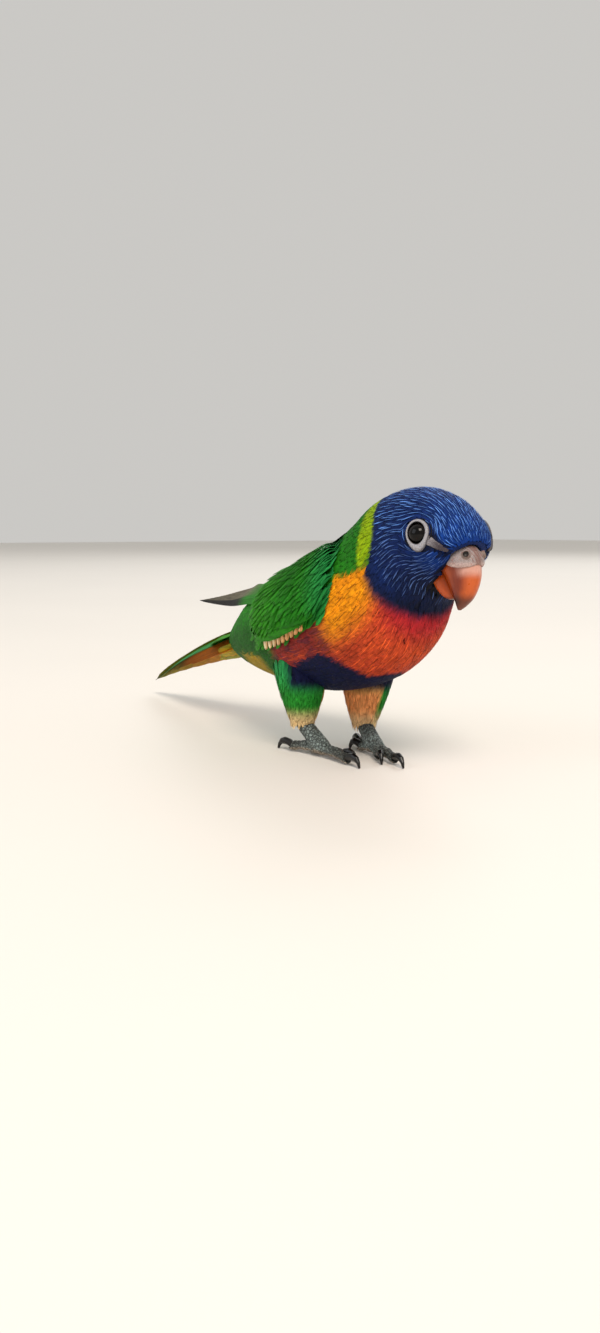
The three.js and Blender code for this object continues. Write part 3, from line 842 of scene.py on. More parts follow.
def loft(rings: Array) -> bmesh.types.BMesh:
    """Bridges rings of points into one closed surface.

    Args:
        rings: points as (rings, points of a ring, 3), in metres.

    Returns:
        The surface.
    """
    bm = bmesh.new()
    before: list[bmesh.types.BMEdge] = []
    ends: list[list[bmesh.types.BMVert]] = []
    for points in rings:
        made = bmesh.ops.create_circle(bm, segments=len(points), radius=1)["verts"]
        for vertex, point in zip(made, points):
            vertex.co = Vector(point)
        edges = list({e for v in made for e in v.link_edges if e.other_vert(v) in made})
        if before:
            bmesh.ops.bridge_loops(bm, edges=before + edges)
        before = edges
        ends.append(made)
    for ring in (ends[0], ends[-1]):
        bmesh.ops.contextual_create(bm, geom=ring)
    bmesh.ops.recalc_face_normals(bm, faces=bm.faces)
    return bm


# Feathers.


@dataclass(frozen=True)
class Blade:
    """The shape that a batch of feathers shares, as shares of each feather's length and half width."""

    stations: int = 6
    quill: float = 0.4  # width at the root
    swell: float = 0.3  # where it reaches its full width
    rounding: float = 0.45  # share of the length that narrows towards the tip
    point: float = 0.14  # width at the very tip
    power: float = 2.0  # 2 rounds the tip, 1 draws it out to a point
    thickness: float = 0.07  # in millimetres
    camber: float = 0.08
    ragged: float = 0.12
    section: Section = Section.PLAIN

    @property
    def steps(self) -> Array:
        """The shares of a feather's length at its stations."""
        return np.linspace(0, 1, self.stations)

    def widths(self, share: Array) -> Array:
        """The half width at each share of the length, as a share of the full one."""
        grow = self.quill + (1 - self.quill) * ease(share, -0.1, self.swell)
        late = np.clip((share - 1 + self.rounding) / self.rounding, 0, 1)
        return grow * np.maximum((1 - late**self.power) ** (1 / self.power), self.point)


def graded(root: Array, tip: Array, stations: int, fade: float = 0.7) -> Array:
    """Colours along feathers, from their roots' to their tips', as (feathers, stations, 3)."""
    share = np.linspace(0, 1, stations)[None, :, None] ** fade
    return root[:, None] + (tip - root)[:, None] * share


@dataclass
class Plumage:
    """Feathers joined into one mesh, each a thin closed blade."""

    name: str
    slot: str  # the record's material slot
    finish: bpy.types.Material
    anchor: Anchor
    parts: dict[str, list[Array]] = field(default_factory=lambda: defaultdict(list))
    count: int = 0
    feathers: int = 0

    def add(
        self,
        lines: Array,
        facing: Array,
        half: Array,
        colours: Array,
        places: Array,
        blade: Blade,
        seed: int = 1,
        under: Array | None = None,
        edge: Array | None = None,
        edge_side: int = 0,
        edge_power: float = 3.0,
    ) -> None:
        """Adds feathers along their middle lines.

        Args:
            lines: points as (feathers, stations, 3).
            facing: the outward directions at those points.
            half: half the greatest width of each feather.
            colours: linear colours at those points.
            places: each root's place on the skin's unwrap, two shares.
            blade: the shape they share.
            seed: the seed of their raggedness.
            under: colours of the lower face, if they differ.
            edge: colours of the rims as (feathers, 1 or stations, 3), if they differ.
            edge_side: 1 or -1 for one rim only.
            edge_power: how closely the rim's colour keeps to it.
        """
        rng = np.random.default_rng(seed)
        number, stations = lines.shape[:2]
        share = np.linspace(0, 1, stations)
        tangent = unit(np.gradient(lines, axis=1))
        face = unit(facing - tangent * (facing * tangent).sum(-1, keepdims=True))
        side = np.cross(face, tangent)
        section = np.array(blade.section.value)
        sides = len(section)
        width = half[:, None] * blade.widths(share)[None]
        width = width * (1 + blade.ragged * rng.uniform(-1, 1, width.shape) * (share > 0.2))
        across = section[:, 0]
        thick = blade.thickness * (1 - 0.5 * share)
        bend = blade.camber * width[..., None] * across**2
        rise = section[:, 1][None, None] * thick[None, :, None] / 2 - bend
        points = (
            lines[:, :, None]
            + side[:, :, None] * (width[..., None] * across)[..., None]
            + face[:, :, None] * rise[..., None]
        )
        length = np.linalg.norm(np.diff(lines, axis=1), axis=-1).sum(1)
        base = self.count + (np.arange(number) * stations * sides)[:, None, None]
        k = np.arange(stations - 1)[None, :, None]
        j = np.arange(sides)[None, None]
        after = (j + 1) % sides
        corner = [(k, j), (k + 1, j), (k + 1, after), (k, after)]
        blades = np.stack([base + a * sides + b for a, b in corner], -1).reshape(-1, 4)
        fans = [[0, i, i + 1, i + 2] for i in range(1, sides - 2, 2)]
        root = (base[:, 0] + np.array(fans).reshape(1, -1)).reshape(-1, 4)
        tip = (base[:, 0] + (stations - 1) * sides + np.array(fans)[:, ::-1].reshape(1, -1)).reshape(-1, 4)
        faces = np.concatenate([blades, root, tip])
        local = faces - self.count
        which = local // (stations * sides)
        station = (local // sides) % stations
        at = local % sides
        u = across[at]
        s = share[station]
        colour = colours[which, station]
        if edge is not None:
            rim = np.clip(u * edge_side, 0, 1) if edge_side else np.abs(u)
            edge = np.broadcast_to(edge, colours.shape)[which, station]
            colour = mix(colour, edge, rim**edge_power * ease(s, 0.2, 0.5))
        if under is not None:
            low = np.argmin(section[:, 1])
            below = (at == low).any(1)
            colour[below] = under[which[below]]
        patch = np.stack([u, s - 0.5], -1) * (0.0015, 0.003)
        self.parts["points"].append(points.reshape(-1, 3))
        self.parts["rims"].append(np.broadcast_to(np.abs(across) == 1, (number, stations, sides)).reshape(-1))
        self.parts["faces"].append(faces)
        self.parts["Plume"].append(np.insert(colour.reshape(-1, 3), 3, 1, axis=1))
        self.parts["Vane"].append(np.stack([width[which, station] * u * 0.1, s * length[which] * 0.1], -1))
        self.parts["OFBake"].append(0.01 + 0.98 * places[which] + patch)
        self.count += number * stations * sides
        self.feathers += number

    def build(self, replaces: Sequence[str] = ()) -> bpy.types.Object:
        """Joins the feathers into a piece.

        Args:
            replaces: the solids that it stands for.

        Returns:
            The object.
        """
        mesh = bpy.data.meshes.new(self.name)
        joined = {name: np.concatenate(values) for name, values in self.parts.items()}
        mesh.from_pydata(self.anchor.metres(joined["points"]).tolist(), [], joined["faces"].tolist())
        mesh.shade_smooth()
        ends = np.empty(len(mesh.edges) * 2, int)
        mesh.edges.foreach_get("vertices", ends)
        rim = joined["rims"][ends.reshape(-1, 2)].all(1)
        mesh.attributes.new("sharp_edge", "BOOLEAN", "EDGE").data.foreach_set("value", rim)
        for name in ("OFBake", "Vane"):
            mesh.uv_layers.new(name=name).uv.foreach_set("vector", joined[name].ravel())
        plume = mesh.color_attributes.new("Plume", "FLOAT_COLOR", "CORNER")
        plume.data.foreach_set("color", joined["Plume"].ravel())
        mesh.update()
        LOG.info("%s: %d feathers", self.name, self.feathers)
        return make_piece(self.name, mesh, self.finish, replaces)


@dataclass(frozen=True)
class Lie:
    """How the small feathers lie on the trunk: their sizes and the way that they run."""

    trunk: Trunk
    stops: tuple[float, ...] = (0, 0.15, 0.27, 0.4, 0.5, 0.56, 0.61, 0.66, 0.75, 0.85, 0.93, 1)
    lengths: tuple[float, ...] = (12, 11, 10, 9, 8.5, 7.6, 6.6, 5.8, 5.2, 4.4, 3.1, 2.0)
    widths: tuple[float, ...] = (4.6, 4.2, 3.7, 3.2, 3.0, 2.7, 2.3, 1.9, 1.75, 1.5, 1.05, 0.72)
    gaps: tuple[float, ...] = (1.5, 1.4, 1.28, 1.1, 1.0, 0.96, 0.92, 0.88, 0.82, 0.72, 0.55, 0.42)
    eye_clear: float = 4.7  # half the width that the lie leaves round an eye

    def heading(self, points: Array, t: Array, angle: Array) -> Array:
        """The direction in which a feather runs, parted round the eyes.

        Args:
            points: places on the surface.
            t: their shares of the trunk's length.
            angle: their angles.

        Returns:
            Unit directions along the surface.
        """
        along, turn = self.trunk.slopes(t, angle)
        normal = unit(np.cross(along, turn))
        way = -unit(along)
        down = unit(turn) * np.sign(np.sin(angle))[..., None]
        cheek = ease(t, 0.6, 0.72) * ease(np.abs(angle), 1.2, 1.7) * 0.25
        way = unit(way + down * cheek[..., None])
        for side in Side:
            out = points - side.eye
            out = out - normal * (out * normal).sum(-1, keepdims=True)
            far = np.linalg.norm(out, axis=-1, keepdims=True)
            ray = out / np.maximum(far, 1e-6)
            pull = np.clip(self.eye_clear / np.maximum(far, 1e-6), 0, 1) ** 2 * (far < 16)
            here = np.sign(points[..., 1:2]) == side.value
            way = way - np.where(here, pull * (2 * (way * ray).sum(-1, keepdims=True) * ray - way), 0)
        return unit(way - normal * (way * normal).sum(-1, keepdims=True))

    def march(self, t: Array, angle: Array, length: Array, stations: int, yaw: Array) -> tuple[Array, Array]:
        """Follows the lie over the surface from each root.

        Args:
            t: the roots' shares of the trunk's length.
            angle: the roots' angles.
            length: how far each feather reaches.
            stations: how many places to give.
            yaw: how far each turns off the lie, in radians.

        Returns:
            The places' t and angles, as (feathers, stations).
        """
        ts, angles = [t], [angle]
        for _ in range(stations - 1):
            t, angle = ts[-1], angles[-1]
            here = self.trunk.point(t, angle)
            along, turn = self.trunk.slopes(t, angle)
            normal = unit(np.cross(along, turn))
            way = self.heading(here, t, angle)
            way = way * np.cos(yaw)[:, None] + np.cross(normal, way) * np.sin(yaw)[:, None]
            aa, tt, at = (along**2).sum(-1), (turn**2).sum(-1), (along * turn).sum(-1)
            wa, wt = (way * along).sum(-1), (way * turn).sum(-1)
            det = np.maximum(aa * tt - at**2, 1e-6)
            step = length / (stations - 1)
            ts.append(np.clip(t + step * (wa * tt - wt * at) / det, 0.004, 0.998))
            angles.append(angle + step * (wt * aa - wa * at) / det)
        return np.stack(ts, 1), np.stack(angles, 1)

    def size(self, values: Sequence[float], t: Array) -> Array:
        """A size of the feathers along the trunk."""
        return np.interp(t, self.stops, values)


@dataclass
class Coat:
    """The small feathers of head, neck and body."""

    trunk: Trunk
    lie: Lie
    markings: Markings
    anchor: Anchor
    clearing: Clearing
    finishes: dict[str, bpy.types.Material]
    depth: float = 0.4  # of the roots under the surface
    stretch: float = 1.7
    tries: int = 60000
    strand: Blade = Blade(stations=7, quill=0.3, swell=0.45, rounding=0.55, point=0.15, power=1.5,
                          thickness=0.05, camber=0, ragged=0.08)

    def roots(self, span: tuple[float, float], seed: int, density: float = 1.0) -> tuple[Array, Array, Array]:
        """Scatters roots evenly over a length of the trunk.

        Args:
            span: the first and last share of its length.
            seed: the seed of the draw.
            density: how much closer than usual they stand.

        Returns:
            The t, angles and points of the roots that carry a feather.
        """
        rng = np.random.default_rng(seed)
        t = rng.uniform(*span, self.tries)
        angle = rng.uniform(-math.pi, math.pi, self.tries)
        area = np.linalg.norm(np.cross(*self.trunk.slopes(t, angle)), axis=-1)
        gap = self.lie.size(self.lie.gaps, t) / density
        odds = area / gap**2
        keep = rng.uniform(0, 1, self.tries) < odds / odds.max()
        t, angle, gap = t[keep], angle[keep], gap[keep]
        points = self.trunk.point(t, angle)
        chosen = scatter(points, gap, seed, self.lie.heading(points, t, angle), self.stretch)
        chosen = chosen[~self.clearing.blocked(t[chosen], angle[chosen], points[chosen])]
        return t[chosen], angle[chosen], points[chosen]

    def feathers(self, plumage: Plumage, t: Array, angle: Array, blade: Blade, seed: int, rim_tone: float,
                 span: tuple[float, float]) -> None:
        """Grows feathers from roots on the trunk.

        Args:
            plumage: the batch that they join.
            t: the roots' shares of the trunk's length.
            angle: the roots' angles.
            blade: their shape.
            seed: the seed of their differences.
            rim_tone: how dark their edges are against their middles.
            span: the batch's length of the trunk, for the unwrap.
        """
        rng = np.random.default_rng(seed)
        number = len(t)
        length = self.lie.size(self.lie.lengths, t) * rng.uniform(0.85, 1.15, number)
        half = self.lie.size(self.lie.widths, t) / 2 * rng.uniform(0.85, 1.15, number)
        ts, angles = self.lie.march(t, angle, length, blade.stations, rng.normal(0, 0.045, number))
        clear = self.clearing.bare(self.trunk.point(ts, angles)).min(1) > half * 0.45
        t, angle, ts, angles, length, half = (v[clear] for v in (t, angle, ts, angles, length, half))
        number = len(t)
        share = blade.steps
        depth = np.minimum(self.depth, length * 0.16)[:, None]
        tips = (0.03 + rng.uniform(-0.03, 0.03, number))[:, None]
        height = -depth + (depth + tips) * share**0.8
        normal = self.trunk.normal(ts, angles)
        lines = self.trunk.point(ts, angles) + normal * height[..., None]
        roll = rng.normal(0, 0.03, number)
        tangent = unit(np.gradient(lines, axis=1))
        facing = normal + np.cross(tangent, normal) * roll[:, None, None]
        colour = self.markings.trunk(ts + rng.normal(0, 0.002, (number, 1)), angles)
        a = self.markings.turned(angle)
        dark = self.markings.flank(ts[:, -2], a) * (rng.uniform(0, 1, number) < 0.4)
        colour = mix(colour, linear(self.markings.plum), dark[:, None] * 0.4)
        colour = colour * rng.normal(1, 0.055, (number, 1, 1)) * rng.normal(1, 0.025, (number, 1, 3))
        colour = np.clip(colour * (0.9 + 0.14 * share)[None, :, None], 0.001, 1)
        # Painted shade: feathers rooted at the bill's rim and along the lores are darkened towards near
        # black.
        colour = mix(colour, linear("#07080d"), self.clearing.shadowed(self.trunk.point(t, angle))[:, None])
        # Painted shade: on the mantle the feathers' rims are darkened further, standing in for the shadows
        # that fall between their tips.
        mantle_gap_shade = ease(a, 0.95, 0.7) * ease(t, 0.6, 0.54) * ease(t, 0.3, 0.4)
        rim = colour * (rim_tone - 0.4 * mantle_gap_shade)[:, None, None]
        plumage.add(lines, facing, half, colour, unwrapped(angle, t, span), blade, seed, edge=rim)

    def hackles(self) -> None:
        """Adds the thin pale shafts that streak the blue head."""
        rng = np.random.default_rng(31)
        blade = replace(self.strand, stations=6, point=0.2)
        t, angle, points = self.roots((0.59, 0.985), 17, 0.66)
        keep = self.clearing.shadowed(points) < 0.25
        t, angle = t[keep], angle[keep]
        length = np.interp(t, [0.6, 0.75, 0.9, 0.985], [4.6, 4.6, 3.4, 1.9]) * rng.uniform(0.6, 1.2, len(t))
        ts, angles = self.lie.march(t, angle, length, blade.stations, rng.normal(0, 0.06, len(t)))
        a = self.markings.turned(angles[:, -1])
        in_head = ts[:, -1] - self.markings.head_from(a)
        keep = in_head > 0.004 + 0.034 * ease(a, 1.55, 2.1)
        keep &= self.clearing.bare(self.trunk.point(ts, angles)).min(1) > 0.5
        t, angle, ts, angles, a, in_head = (v[keep] for v in (t, angle, ts, angles, a, in_head))
        number = len(t)
        height = 0.02 + 0.22 * blade.steps + rng.uniform(-0.04, 0.08, number)[:, None]
        half = np.interp(t, [0.6, 0.85, 0.985], [0.15, 0.15, 0.1]) * rng.uniform(0.75, 1.25, number)
        under = self.markings.trunk(ts[:, -1], angles[:, -1])
        cheek = ease(a, 1.2, 1.7)
        pale = paint("#6396e6", ("#6488d0", cheek))
        pale = pale * rng.uniform(0.45, 1.35, (number, 1)) * (1 - 0.25 * cheek)[:, None]
        pale = mix(pale, under, ease(in_head, 0.07, 0.03) * ease(a, 1.4, 1.8) * 0.7)
        plumage = Plumage("head_shafts", "blue_plumage", self.finishes["shaft"], self.anchor)
        plumage.add(self.trunk.raised(ts, angles, height), self.trunk.normal(ts, angles), half,
                    graded(under * 1.3, pale, blade.stations), unwrapped(angle, t, (0.6, 1)), blade, 31)
        plumage.build()

    def streaks(self) -> None:
        """Adds the fine strands, darker and lighter, that streak the breast and flanks."""
        rng = np.random.default_rng(41)
        blade = self.strand
        t, angle, points = self.roots((0.31, 0.57), 19, 0.62)
        low = self.markings.turned(angle) > self.markings.side_line(t) + 0.05
        keep = low & (self.clearing.shadowed(points) < 0.25)
        t, angle = t[keep], angle[keep]
        number = len(t)
        length = rng.uniform(4.5, 8.5, number)
        ts, angles = self.lie.march(t, angle, length, blade.stations, rng.normal(0, 0.1, number))
        height = -0.12 + 0.24 * blade.steps + rng.uniform(-0.03, 0.06, number)[:, None]
        half = rng.uniform(0.1, 0.19, number)
        under = self.markings.trunk(ts, angles)
        darker = rng.uniform(0, 1, number) < 0.5
        tone = np.where(darker, rng.uniform(0.35, 0.7, number), rng.uniform(1.15, 1.6, number))[:, None, None]
        glow = (0.12 * (tone[:, 0, 0] > 1) * ease(under.max(-1).min(1), 0.08, 0.25))[:, None, None]
        colour = np.clip(under * tone + linear(self.markings.amber) * glow, 0.001, 1)
        plumage = Plumage("breast_strands", "breast_plumage", self.finishes["shaft"], self.anchor)
        plumage.add(self.trunk.raised(ts, angles, height), self.trunk.normal(ts, angles), half, colour,
                    unwrapped(angle, t, (0.27, 0.612)), blade, 41)
        plumage.build()

    def band(
        self,
        roots: tuple[float, float],
        seeds: tuple[int, int],
        blade: Blade,
        finish: str,
        rim_tone: float,
        span: tuple[float, float],
        border: Callable[[Array], Array],
        pieces: Sequence[tuple[str, str]],
    ) -> None:
        """Builds the feathers of one length of the trunk.

        Args:
            roots: the first and last share of its length.
            seeds: the seeds of their places and of their differences.
            blade: their shape.
            finish: the name of their material.
            rim_tone: how dark their edges are against their middles.
            span: the length of the trunk that their unwrap covers.
            border: gives the angle, by t, where the first piece ends and the second starts.
            pieces: the name and material slot of each piece, from the back's ridge down.
        """
        t, angle, _ = self.roots(roots, seeds[0])
        upper = np.abs(angle) < border(t)
        for (name, slot), chosen in zip(pieces, (upper, ~upper)):
            plumage = Plumage(name, slot, self.finishes[finish], self.anchor)
            self.feathers(plumage, t[chosen], angle[chosen], blade, seeds[1], rim_tone, span)
            plumage.build()

    def build(self) -> None:
        """Builds the coat in bands from the face to the tail."""
        narrow = Blade(stations=7, quill=0.5, rounding=0.7, point=0.1, power=1.4, thickness=0.06, camber=0.04,
                       ragged=0.08)
        broad = replace(narrow, rounding=0.65, power=1.5, thickness=0.03, camber=0.02, ragged=0.06)
        self.band((0.6, 0.995), (11, 21), narrow, "blue", 0.75, (0.6, 1), lambda t: 1.25 + 0 * t,
                  (("head_crown", "blue_plumage"), ("head_cheeks", "blue_plumage")))
        self.hackles()
        self.band((0.27, 0.612), (12, 22), broad, "soft", 0.98, (0.27, 0.612), self.markings.side_line,
                  (("mantle", "collar_plumage"), ("breast", "breast_plumage")))
        self.streaks()
        self.band((0.02, 0.28), (13, 23), broad, "soft", 0.98, (0, 0.28), lambda t: 9 + 0 * t,
                  (("rump", "collar_plumage"),))


@dataclass
class Skin:
    """One skin under the coat, in place of the solids of flesh."""

    trunk: Trunk
    markings: Markings
    anchor: Anchor
    depth: float = 0.65
    voxel: float = 0.8
    swell: float = 0.35

    def build(self, near: BVHTree, legs: Sequence["Leg"]) -> bpy.types.Object:
        """Builds the skin.

        Args:
            near: the solids of bill, cere and eyes, where the skin isn't sunk.
            legs: the legs, for their colours.

        Returns:
            The object.
        """
        flesh = ("head", "neck", "torso", "thigh_l", "thigh_r")
        mesh = remeshed(merged_copy(flesh, self.swell), self.voxel, 8)
        points = self.anchor.read(mesh)
        normals = vectors(mesh.vertex_normals, "vector")
        gap = distances(near, points)
        sink = self.swell + self.depth * (0.4 + 0.6 * ease(gap, 0.8, 4))
        sink = sink - 0.9 * self.depth * ease(points[:, 2], 22, 10)
        for side in Side:
            sink += 0.5 * ease(np.linalg.norm(points - side.eye, axis=-1), 7.5, 6.0)
        points = points - normals * np.maximum(sink, 0.1)[:, None]
        self.anchor.write(mesh, points)
        t, angle = self.trunk.place_of(points)
        colour = self.markings.trunk(t, angle) * 0.6
        for leg in legs:
            share, inward, away = leg.read(points)
            near_leg = ease(away, 13, 9) * ease(points[:, 2], 30, 24)
            colour = mix(colour, self.markings.leg(share, inward, leg.inner) * 0.8, near_leg)
        around = [("#11131f", ease(np.linalg.norm(points - side.eye, axis=-1), 8.5, 6.5)) for side in Side]
        tint(mesh, paint(colour, *around), "Plume")
        return make_piece("skin", mesh, SkinFinish().build(), flesh)


@dataclass
class Leg:
    """A feathered thigh with its scaled foot and claws."""

    side: Side
    markings: Markings
    anchor: Anchor
    hip: tuple[float, float, float]
    knee: tuple[float, float, float]
    ankle: tuple[float, float, float]
    foot: tuple[float, float]  # where the toes meet
    turn: float  # the foot's heading in degrees
    inner: float  # where the inner side's peach starts, from -1 to 1
    toes: tuple[tuple[float, float], ...]  # the angle and length of each
    knee_share: float = 0.57
    tries: int = 5200

    def axis(self, share: Array) -> Array:
        """The thigh's middle line, from the hip at 0 to the ankle at 1."""
        stops = np.array([self.hip, self.knee, self.ankle])
        return np.stack([np.interp(share, [0, self.knee_share, 1], stops[:, k]) for k in range(3)], -1)

    def read(self, points: Array) -> tuple[Array, Array, Array]:
        """Where points lie on the leg.

        Args:
            points: the points.

        Returns:
            Their shares down the leg, how much they face inward, and their distances from its middle.
        """
        levels = [-self.hip[2], -self.knee[2], -self.ankle[2]]
        share = np.interp(-points[:, 2], levels, [0, self.knee_share, 1])
        away = points - self.axis(share)
        far = np.linalg.norm(away[:, :2], axis=-1)
        inward = (-self.side.value * away[:, 1] + 0.35 * away[:, 0]) / np.maximum(far, 1e-6)
        return share, inward, far

    def surface(self, tree: BVHTree, share: Array, turn: Array) -> tuple[Array, Array]:
        """Points and outward directions on the thigh's solid.

        Args:
            tree: the thigh's search tree.
            share: shares down the leg.
            turn: angles round it.

        Returns:
            The points and their directions.
        """
        middle = self.axis(share)
        way = np.stack([np.cos(turn), np.sin(turn), np.zeros_like(turn)], -1)
        points, normals = np.empty_like(middle), np.empty_like(middle)
        flat_p, flat_n = points.reshape(-1, 3), normals.reshape(-1, 3)
        for i, (m, w) in enumerate(zip(middle.reshape(-1, 3).tolist(), way.reshape(-1, 3).tolist())):
            hit, normal = tree.ray_cast(Vector(m), Vector(w))[:2]
            flat_p[i], flat_n[i] = (tree.find_nearest(Vector(m))[0], w) if hit is None else (hit, normal)
        return points, unit(normals * 0.5 + way * 0.5)

    def dress(self, plumage: Plumage, body: BVHTree, seed: int) -> None:
        """Grows the thigh's feathers.

        Args:
            plumage: the batch that they join.
            body: the torso's search tree, inside which none grow.
            seed: the seed of their differences.
        """
        rng = np.random.default_rng(seed)
        tree = tree_of([f"thigh_{self.side.letter}"], self.anchor)
        blade = Blade(stations=6, quill=0.45, rounding=0.7, point=0.1, power=1.45, thickness=0.06, ragged=0.1)
        share = rng.uniform(0.18, 0.97, self.tries)
        turn = rng.uniform(-math.pi, math.pi, self.tries)
        points, _ = self.surface(tree, share, turn)
        gap = np.interp(share, [0.2, 0.6, 1], [1.0, 0.8, 0.5])
        down = np.broadcast_to(unit(np.array(self.ankle) - np.array(self.hip)), points.shape)
        chosen = scatter(points, gap, seed, down, 1.6)
        chosen = chosen[~inside(body, points[chosen], 0.0) | (distances(body, points[chosen]) < 1.6)]
        share, turn = share[chosen], turn[chosen]
        number = len(share)
        length = np.interp(share, [0.2, 0.6, 1], [8, 6.5, 3.6]) * rng.uniform(0.85, 1.15, number)
        half = np.interp(share, [0.2, 0.6, 1], [1.0, 0.8, 0.45]) * rng.uniform(0.85, 1.15, number)
        whole = abs(self.hip[2] - self.ankle[2]) * 1.02
        steps = blade.steps
        shares = share[:, None] + length[:, None] * steps / whole
        turns = turn[:, None] + rng.normal(0, 0.12, number)[:, None] * steps
        points, normals = self.surface(tree, np.minimum(shares, 1.0), turns)
        below = np.maximum(shares - 1.0, 0) * whole
        points[..., 2] -= below
        points += normals * (below * -0.15)[..., None]
        height = -0.6 + (0.7 + rng.uniform(0, 0.3, number)[:, None]) * steps**0.8
        lines = points + normals * height[..., None]
        where, inward, _ = self.read(lines.reshape(-1, 3))
        colour = self.markings.leg(where, inward, self.inner).reshape(lines.shape)
        colour = colour * rng.normal(1, 0.09, (number, 1, 1)) * (0.7 + 0.35 * steps)[None, :, None]
        plumage.add(lines, normals, half, colour, unwrapped(turn, share), blade, seed)

    def build_foot(self, finish: bpy.types.Material) -> bpy.types.Object:
        """Builds the foot: scaled above, padded below.

        Args:
            finish: its material.

        Returns:
            The object.
        """
        node = f"foot_{self.side.letter}"
        mesh = remeshed(merged_copy([node]), 0.34, 3)
        points = self.anchor.read(mesh)
        normals = vectors(mesh.vertex_normals, "vector")
        along = np.full(len(points), 1e9)
        run = np.zeros(len(points))
        start = np.array([*self.foot, 2.6])
        for spread, length in self.toes:
            heading = math.radians(self.turn + spread * self.side.value)
            way = np.array([math.cos(heading), math.sin(heading), 0])
            reach = np.clip((points - start) @ way, 0, length)
            away = np.linalg.norm((points - start - reach[:, None] * way)[:, :2], axis=-1)
            nearer = away < along
            along, run = np.where(nearer, away, along), np.where(nearer, reach, run)
        top = ease(normals[:, 2], 0.1, 0.7) * ease(run, 1.5, 3)
        groove = np.abs(np.sin(run * math.pi / 1.9)) ** 0.6
        points += normals * (top * 0.3 * (groove - 0.6))[:, None]
        points[:, 2] = np.maximum(points[:, 2], max(0.0, -self.anchor.shift[2]))
        self.anchor.write(mesh, points)
        pad = ease(normals[:, 2], 0.0, -0.6) * ease(points[:, 2], 4, 2)
        tint(mesh, paint("#7a8683", ("#4c4f4a", ease(run, 2, 12) * 0.85), ("#a89a88", pad),
                         ("#22231f", (1 - groove) * top * 0.9)))
        return make_piece(f"scaled_foot_{self.side.letter}", mesh, finish, [node])

    def build_claws(self, finish: bpy.types.Material) -> None:
        """Builds the claws as smooth dark horns."""
        for number in range(1, 5):
            node = f"claw_{self.side.letter}_{number}"
            mesh = remeshed(merged_copy([node]), 0.16, 4)
            height = vectors(mesh.vertices, "co")[:, 2] / MM
            tint(mesh, paint("#070504", ("#1a1310", ease(height, 2, 0))))
            make_piece(f"horn_{node}", mesh, finish, [node])


